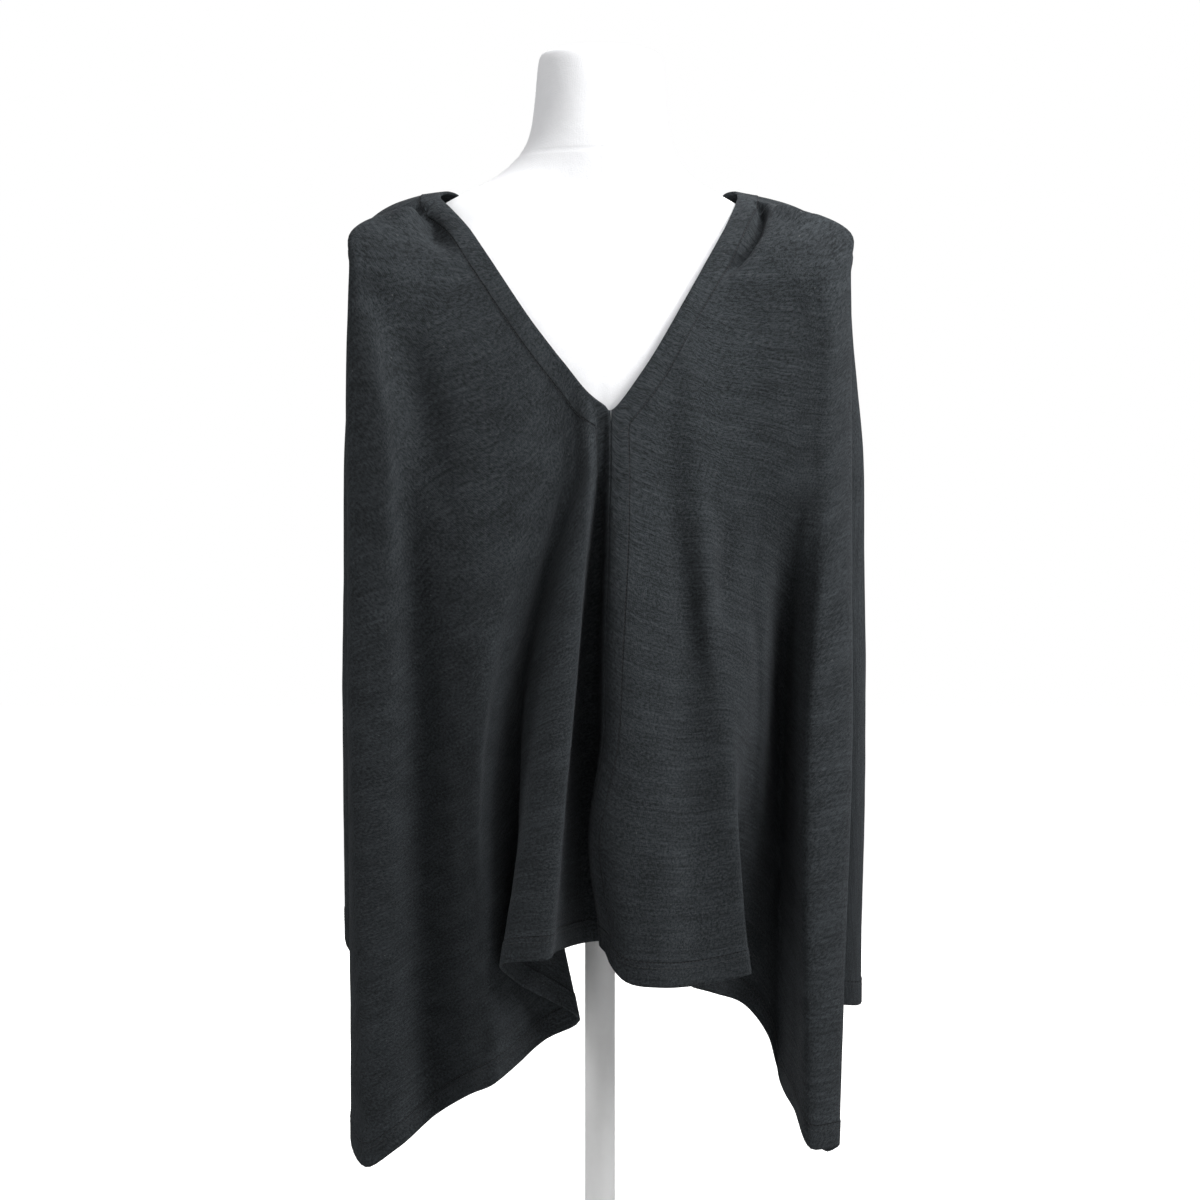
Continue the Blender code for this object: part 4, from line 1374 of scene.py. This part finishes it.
@dataclass(frozen=True)
class KnitFinish(Finish):
    """The charcoal knit."""

    NAME = "charcoal_heather_knit"

    dark: Triple = (0.0118, 0.0134, 0.0147)
    light: Triple = (0.0470, 0.0535, 0.0588)
    # painted shade: the colour that the stitched grooves at the neck, the seams and above the hem are darkened
    # towards
    groove_painted_shade: Triple = (0.0120, 0.0130, 0.0150)
    fibre: Triple = (0.125, 0.127, 0.131)
    slub_share: float = 0.34
    streak_share: float = 0.19
    fibre_share: float = 0.55
    groove_shade_share: float = 0.75
    loop_width: float = 0.00115
    loop_height: float = 0.00085
    wander: float = 0.9
    neck_line: float = 0.017
    hem_line: float = 0.0192
    groove: float = 0.0011
    loop_relief: float = 0.00022
    slub_relief: float = -0.00012
    streak_relief: float = -0.00030
    tone_relief: float = 0.00018
    groove_relief: float = -0.0009
    bump: float = 0.9
    roughness: Ends = (0.88, 0.97)
    specular: float = 0.08
    sheen: float = 0.05
    sheen_roughness: float = 0.45
    sheen_tint: Triple = (0.75, 0.78, 0.85)

    def inputs(self, bench: NodeBench, loops: NodeTree, heather: NodeTree) -> Inputs:
        """What the shader takes.

        Args:
            bench: Adds nodes to the material.
            loops: The knitted loops.
            heather: The yarn.

        Returns:
            The value of each input.
        """
        flat = bench.add("ShaderNodeUVMap", uv_map="flat_cut").outputs[0]
        yarn = bench.group(heather, {"Flat": flat})
        tone, slub, streak = yarn["Tone"], yarn["Slub"], yarn["Streak"]
        sizes = {"Loop Width": self.loop_width, "Loop Height": self.loop_height, "Wander": self.wander}
        knit = bench.group(loops, {"Flat": flat, **sizes})
        edge, hem = bench.distance("edge_distance"), bench.distance("hem_distance")
        off_neck = bench.math("ABSOLUTE", bench.math("SUBTRACT", edge, self.neck_line))
        off_hem = bench.math("ABSOLUTE", bench.math("SUBTRACT", hem, self.hem_line))
        # the groove mask gives painted shade in the stitched grooves, and also presses them in as relief
        line = bench.ramp(bench.math("MINIMUM", off_neck, off_hem), 0.0, self.groove, 1.0, 0.0)
        colour = bench.mix(tone, self.dark, self.light)
        for value, share, other in (
            (slub, self.slub_share, self.dark),
            (streak, self.streak_share, self.dark),
            (yarn["Fibre"], self.fibre_share, self.fibre),
            (line, self.groove_shade_share, self.groove_painted_shade),
        ):
            colour = bench.mix(bench.math("MULTIPLY", value, share), colour, other)
        height = bench.weighted(
            (knit["Height"], self.loop_relief),
            (slub, self.slub_relief),
            (streak, self.streak_relief),
            (tone, self.tone_relief),
            (line, self.groove_relief),
        )
        return {
            "Base Color": colour,
            "Normal": bench.bump(height, self.bump),
            "Roughness": bench.ramp(tone, 0.0, 1.0, *self.roughness),
            "Sheen Weight": self.sheen,
            "Sheen Roughness": self.sheen_roughness,
            "Sheen Tint": opaque(self.sheen_tint),
            "Specular IOR Level": self.specular,
        }


@dataclass(frozen=True)
class ThreadFinish(Finish):
    """Sewing thread in the cloth's colour."""

    NAME = "charcoal_thread"

    dark: Triple = (0.0100, 0.0110, 0.0125)
    light: Triple = (0.0260, 0.0275, 0.0300)
    scale: float = 2600.0
    tone_ends: Ends = (0.3, 0.7)
    roughness: Ends = (0.6, 0.75)
    bump: float = 0.5
    relief: float = 0.0002
    specular: float = 0.35

    def inputs(self, bench: NodeBench) -> Inputs:
        """What the shader takes.

        Args:
            bench: Adds nodes to the material.

        Returns:
            The value of each input.
        """
        tone = bench.noise(bench.place(), self.scale)
        return {
            "Base Color": bench.mix(tone, self.dark, self.light),
            "Roughness": bench.ramp(tone, *self.tone_ends, *self.roughness),
            "Normal": bench.bump(tone, self.bump, self.relief),
            "Specular IOR Level": self.specular,
        }


@dataclass(frozen=True)
class JerseyFinish(Finish):
    """The form's white stretch jersey."""

    NAME = "white_stretch_jersey"

    colour: Triple = (0.870, 0.874, 0.890)
    shade: Triple = (0.840, 0.842, 0.862)
    loop_width: float = 0.0009
    loop_height: float = 0.0008
    wander: float = 0.5
    cloud: Triple = (26.0, 3.0, 0.6)
    cloud_ends: Ends = (0.4, 0.75)
    fuzz: Triple = (900.0, 2.0, 0.6)
    fuzz_ends: Ends = (0.3, 0.7)
    loop_relief: float = 0.00010
    fuzz_relief: float = 0.00022
    cloud_relief: float = 0.0012
    bump: float = 0.6
    roughness: Ends = (0.82, 0.92)
    specular: float = 0.25
    sheen: float = 0.12
    sheen_roughness: float = 0.5

    def inputs(self, bench: NodeBench, loops: NodeTree) -> Inputs:
        """What the shader takes.

        Args:
            bench: Adds nodes to the material.
            loops: The knitted loops.

        Returns:
            The value of each input.
        """
        place = bench.place()
        parts = bench.add("ShaderNodeSeparateXYZ", {0: place}).outputs
        around = bench.math("ADD", parts[0], parts[1])
        flat = bench.add("ShaderNodeCombineXYZ", {0: around, 1: parts[2]}).outputs[0]
        sizes = {"Loop Width": self.loop_width, "Loop Height": self.loop_height, "Wander": self.wander}
        knit = bench.group(loops, {"Flat": flat, **sizes})
        cloud, fuzz = bench.noise(place, *self.cloud), bench.noise(place, *self.fuzz)
        height = bench.weighted(
            (knit["Height"], self.loop_relief), (fuzz, self.fuzz_relief), (cloud, self.cloud_relief)
        )
        return {
            "Base Color": bench.mix(bench.ramp(cloud, *self.cloud_ends), self.colour, self.shade),
            "Normal": bench.bump(height, self.bump),
            "Roughness": bench.ramp(fuzz, *self.fuzz_ends, *self.roughness),
            "Sheen Weight": self.sheen,
            "Sheen Roughness": self.sheen_roughness,
            "Specular IOR Level": self.specular,
        }


@dataclass(frozen=True)
class CoatingFinish(Finish):
    """The stand's white powder coating."""

    NAME = "white_powder_coating"

    colour: Triple = (0.88, 0.88, 0.88)
    worn: Triple = (0.82, 0.82, 0.815)
    peel: Triple = (420.0, 2.0, 0.5)
    cloud: Triple = (18.0, 4.0, 0.6)
    worn_ends: Ends = (0.45, 0.8)
    gloss_ends: Ends = (0.3, 0.7)
    roughness: Ends = (0.36, 0.50)
    bump: float = 0.25
    relief: float = 0.0004
    coat: float = 0.15
    coat_roughness: float = 0.3

    def inputs(self, bench: NodeBench) -> Inputs:
        """What the shader takes.

        Args:
            bench: Adds nodes to the material.

        Returns:
            The value of each input.
        """
        place = bench.place()
        peel, cloud = bench.noise(place, *self.peel), bench.noise(place, *self.cloud)
        return {
            "Base Color": bench.mix(bench.ramp(cloud, *self.worn_ends), self.colour, self.worn),
            "Roughness": bench.ramp(cloud, *self.gloss_ends, *self.roughness),
            "Normal": bench.bump(peel, self.bump, self.relief),
            "Coat Weight": self.coat,
            "Coat Roughness": self.coat_roughness,
        }


@dataclass(frozen=True)
class FloorFinish(Finish):
    """The plain pale floor. What the camera sees of it is lifted to the white of the room."""

    NAME = "pale_floor"

    colour: Triple = (0.62, 0.62, 0.62)
    cloud: Triple = (3.0, 2.0, 0.5)
    cloud_tone: float = 0.985
    glow: float = 1.0
    roughness: float = 0.9
    specular: float = 0.1

    def inputs(self, bench: NodeBench) -> Inputs:
        """What the shader takes.

        Args:
            bench: Adds nodes to the material.

        Returns:
            The value of each input.
        """
        cloud = bench.noise(bench.place(), *self.cloud)
        other = tuple(value * self.cloud_tone for value in self.colour)
        seen = bench.add("ShaderNodeLightPath").outputs["Is Camera Ray"]
        return {
            "Base Color": bench.mix(cloud, self.colour, other),
            "Emission Color": bench.mix(seen, (0.0, 0.0, 0.0), (1.0, 1.0, 1.0)),
            "Emission Strength": self.glow,
            "Roughness": self.roughness,
            "Specular IOR Level": self.specular,
        }


# ---------------------------------------------------------------------------------------------
# the form and its stand
# ---------------------------------------------------------------------------------------------


@dataclass(frozen=True)
class DressForm:
    """The covered form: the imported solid's shape, made smoother, with its cover's seams pressed in."""

    merge: float = 0.0002
    seam_width: float = 0.0032
    seam_depth: float = 0.0004
    neck_seam: float = 0.9285
    levels: int = 2
    quad_angle: float = math.radians(60)

    def build(self, jersey: Material) -> Object:
        """Copies the solid, cuts the seams and rounds it.

        Args:
            jersey: Its material.

        Returns:
            The new object.
        """
        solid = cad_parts["dress_form"]
        form = bpy.data.objects.new("covered_form", solid.data.copy())
        bpy.context.scene.collection.objects.link(form)
        form.data.materials.clear()
        form.data.materials.append(jersey)
        make_active(form)
        bpy.ops.object.mode_set(mode="EDIT")
        bpy.ops.mesh.select_all(action="SELECT")
        bpy.ops.mesh.remove_doubles(threshold=self.merge)
        bpy.ops.mesh.normals_make_consistent(inside=False)
        bpy.ops.mesh.tris_convert_to_quads(
            face_threshold=self.quad_angle, shape_threshold=self.quad_angle
        )
        bpy.ops.object.mode_set(mode="OBJECT")
        apply_modifier(form, "SUBSURF", levels=self.levels, render_levels=self.levels)
        for point, normal in (((0, 0, 0), (1, 0, 0)), ((0, 0, self.neck_seam), (0, 0, 1))):
            self.press_seam(form, Vector(point), Vector(normal))
        form.data.shade_smooth()
        return form

    def press_seam(self, form: Object, point: Vector, normal: Vector) -> None:
        """Presses a narrow groove where a level or upright plane cuts the form.

        Args:
            form: The form.
            point: A point of the plane.
            normal: Its direction.
        """
        make_active(form)
        for offset in (-1.0, 0.0, 1.0):
            bpy.ops.object.mode_set(mode="EDIT")
            bpy.ops.mesh.select_all(action="SELECT")
            place = point + normal * (offset * self.seam_width)
            bpy.ops.mesh.bisect(plane_co=place, plane_no=normal)
            bpy.ops.object.mode_set(mode="OBJECT")
        for vertex in form.data.vertices:
            away = abs((vertex.co - point).dot(normal))
            if away < self.seam_width / 2:
                vertex.co -= vertex.normal * self.seam_depth
        form.data.update()


@dataclass(frozen=True)
class Stand:
    """The round pole and the flat base with its collar."""

    pole_segments: int = 48
    pole_edge: float = 0.0012
    pole_edge_segments: int = 2
    base_segments: int = 96
    base_edge: float = 0.0022
    base_edge_segments: int = 3
    base_thickness: float = 0.012
    collar_radius: float = 0.023
    clearance: float = 0.0003
    smooth_angle: float = math.radians(40)

    def build_pole(self, coating: Material) -> Object:
        """Turns the pole with eased ends.

        Args:
            coating: Its material.

        Returns:
            The pole.
        """
        low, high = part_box("stand_pole")
        pole = self.round_bar("coated_pole", self.pole_segments, (high[0] - low[0]) / 2, low[2], high[2])
        self.finish(pole, coating, self.pole_edge, self.pole_edge_segments)
        return pole

    def build_base(self, coating: Material) -> Object:
        """Models the base: a disc whose top is inset and raised into the collar, bored for the pole.

        Args:
            coating: Its material.

        Returns:
            The base.
        """
        low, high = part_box("stand_base")
        pole_low, pole_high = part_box("stand_pole")
        radius, rise = (high[0] - low[0]) / 2, high[2] - self.base_thickness
        bore = (pole_high[0] - pole_low[0]) / 2 + self.clearance
        base = self.round_bar("coated_base", self.base_segments, radius, 0.0, self.base_thickness)
        bpy.ops.object.mode_set(mode="EDIT")
        bpy.ops.mesh.select_mode(type="FACE")
        bpy.ops.mesh.select_all(action="DESELECT")
        bpy.ops.object.mode_set(mode="OBJECT")
        for face in base.data.polygons:
            face.select = face.normal.z > math.cos(self.smooth_angle)
        bpy.ops.object.mode_set(mode="EDIT")
        for inset, lift in ((radius - self.collar_radius, rise), (self.collar_radius - bore, -rise)):
            bpy.ops.mesh.inset(thickness=inset)
            bpy.ops.mesh.extrude_region_move(TRANSFORM_OT_translate={"value": (0, 0, lift)})
        bpy.ops.object.mode_set(mode="OBJECT")
        self.finish(base, coating, self.base_edge, self.base_edge_segments)
        return base

    def round_bar(self, name: str, segments: int, radius: float, low: float, high: float) -> Object:
        """Makes an upright cylinder on the stand's axis.

        Args:
            name: Its name.
            segments: Number of its sides.
            radius: Its radius.
            low: Height of its lower end.
            high: Height of its upper end.

        Returns:
            The new object, active.
        """
        select_none()
        bpy.ops.mesh.primitive_cylinder_add(
            vertices=segments, radius=radius, depth=high - low, location=(0, 0, (high + low) / 2)
        )
        bar = bpy.context.active_object
        bar.name = name
        bpy.ops.object.transform_apply(location=True, rotation=True, scale=True)
        return bar

    def finish(self, piece: Object, coating: Material, edge: float, segments: int) -> None:
        """Eases the edges of a turned piece, smooths it and coats it.

        Args:
            piece: The piece, active.
            coating: Its material.
            edge: Width of its eased edges.
            segments: Number of steps across them.
        """
        apply_modifier(piece, "BEVEL", width=edge, segments=segments, limit_method="ANGLE")
        make_active(piece)
        bpy.ops.object.shade_smooth_by_angle(angle=self.smooth_angle)
        piece.data.materials.clear()
        piece.data.materials.append(coating)


# ---------------------------------------------------------------------------------------------
# the studio
# ---------------------------------------------------------------------------------------------


@dataclass(frozen=True)
class SoftLight:
    """A soft area light aimed at the garment. Angles are in degrees, from the front and from level."""

    name: str
    azimuth: float
    elevation: float
    distance: float
    size: float
    power: float
    aim_height: float = 0.56

    def add(self) -> None:
        """Adds it to the scene."""
        lamp = bpy.data.lights.new(self.name, "AREA")
        lamp.energy, lamp.size = self.power, self.size
        obj = bpy.data.objects.new(self.name, lamp)
        a, e = math.radians(self.azimuth), math.radians(self.elevation)
        away = Vector((math.sin(a) * math.cos(e), -math.cos(a) * math.cos(e), math.sin(e)))
        obj.location = away * self.distance + Vector((0, 0, self.aim_height))
        obj.rotation_euler = away.to_track_quat("Z", "Y").to_euler()
        bpy.context.scene.collection.objects.link(obj)


@dataclass(frozen=True)
class Studio:
    """Pale floor and backdrop, soft lights and the camera."""

    camera_distance: float = 2.8
    camera_height: float = 0.5605
    view_height: float = 0.996
    world_strength: float = 0.015
    floor_size: float = 30.0
    floor_gap: float = 0.0005
    lights: tuple[SoftLight, ...] = (
        SoftLight("key", azimuth=53, elevation=40, distance=1.6, size=0.75, power=31),
        SoftLight("upper", azimuth=58, elevation=62, distance=1.8, size=0.8, power=8),
        SoftLight("top", azimuth=32, elevation=65, distance=2.2, size=0.9, power=20),
        SoftLight("fill", azimuth=-52, elevation=30, distance=2.4, size=1.0, power=6.5),
        SoftLight("side", azimuth=-88, elevation=12, distance=2.6, size=1.0, power=22),
        SoftLight("back", azimuth=180, elevation=20, distance=3.0, size=2.0, power=60),
    )

    def build(self, floor_finish: Material) -> None:
        """Sets up the room.

        Args:
            floor_finish: The floor's material.
        """
        self.add_floor(floor_finish)
        for light in self.lights:
            light.add()
        world = bpy.data.worlds.new("soft_room")
        world.use_nodes = True
        bench = NodeBench(world.node_tree)
        seen = bench.add("ShaderNodeLightPath").outputs["Is Camera Ray"]
        strength = bench.math("MAXIMUM", seen, self.world_strength)
        white = opaque((1.0, 1.0, 1.0))
        bench.feed(world.node_tree.nodes["Background"], {"Color": white, "Strength": strength})
        bpy.context.scene.world = world
        self.add_camera()
        bpy.context.scene.view_settings.view_transform = "Standard"

    def add_floor(self, finish: Material) -> None:
        """Lays the floor.

        Args:
            finish: Its material.
        """
        select_none()
        bpy.ops.mesh.primitive_plane_add(size=self.floor_size, location=(0, 0, -self.floor_gap))
        floor = bpy.context.active_object
        floor.name = "floor"
        floor.data.materials.append(finish)

    def add_camera(self) -> None:
        """Sets the camera in front, level with the garment's middle."""
        camera = bpy.data.objects.new("camera", bpy.data.cameras.new("camera"))
        camera.data.angle = 2 * math.atan(self.view_height / 2 / self.camera_distance)
        camera.location = (0.0, -self.camera_distance, self.camera_height)
        camera.rotation_euler = (QUARTER_TURN, 0.0, 0.0)
        bpy.context.scene.collection.objects.link(camera)
        bpy.context.scene.camera = camera


def hand_in(piece: Object, slot: str, *nodes: str) -> None:
    """Parents a piece to the body, hides the solids that it replaces and logs its size.

    Args:
        piece: The piece.
        slot: Not used.
        *nodes: The solids that it replaces.
    """
    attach(piece, BODY)
    if nodes:
        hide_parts(*nodes)
    LOG.info("%s: %d vertices", piece.name, len(piece.data.vertices))


def main() -> None:
    """Builds every piece and the studio."""
    logging.basicConfig(level=logging.INFO, format="%(message)s")
    loops, heather = LoopPattern().make(), HeatherPattern().make()
    knit = KnitFinish().make(loops=loops, heather=heather)
    thread = ThreadFinish().make()
    jersey = JerseyFinish().make(loops=loops)
    coating = CoatingFinish().make()
    sizes = ClothSizes()
    cloth = Cloth(sizes, Ripple())
    stitching = Stitching()
    form = DressForm().build(jersey)
    hand_in(form, "form_cover", "dress_form")
    stand = Stand()
    hand_in(stand.build_pole(coating), "stand", "stand_pole")
    hand_in(stand.build_base(coating), "stand", "stand_base")
    for side in Side:
        panel = Panel(cloth, side)
        piece = panel.build(knit)
        hand_in(piece, "knit", f"{side.value}_panel")
        rows = stitching.build(panel, thread)
        hand_in(rows, "knit")
    Studio().build(FloorFinish().make())


if __name__ == "__main__":
    main()
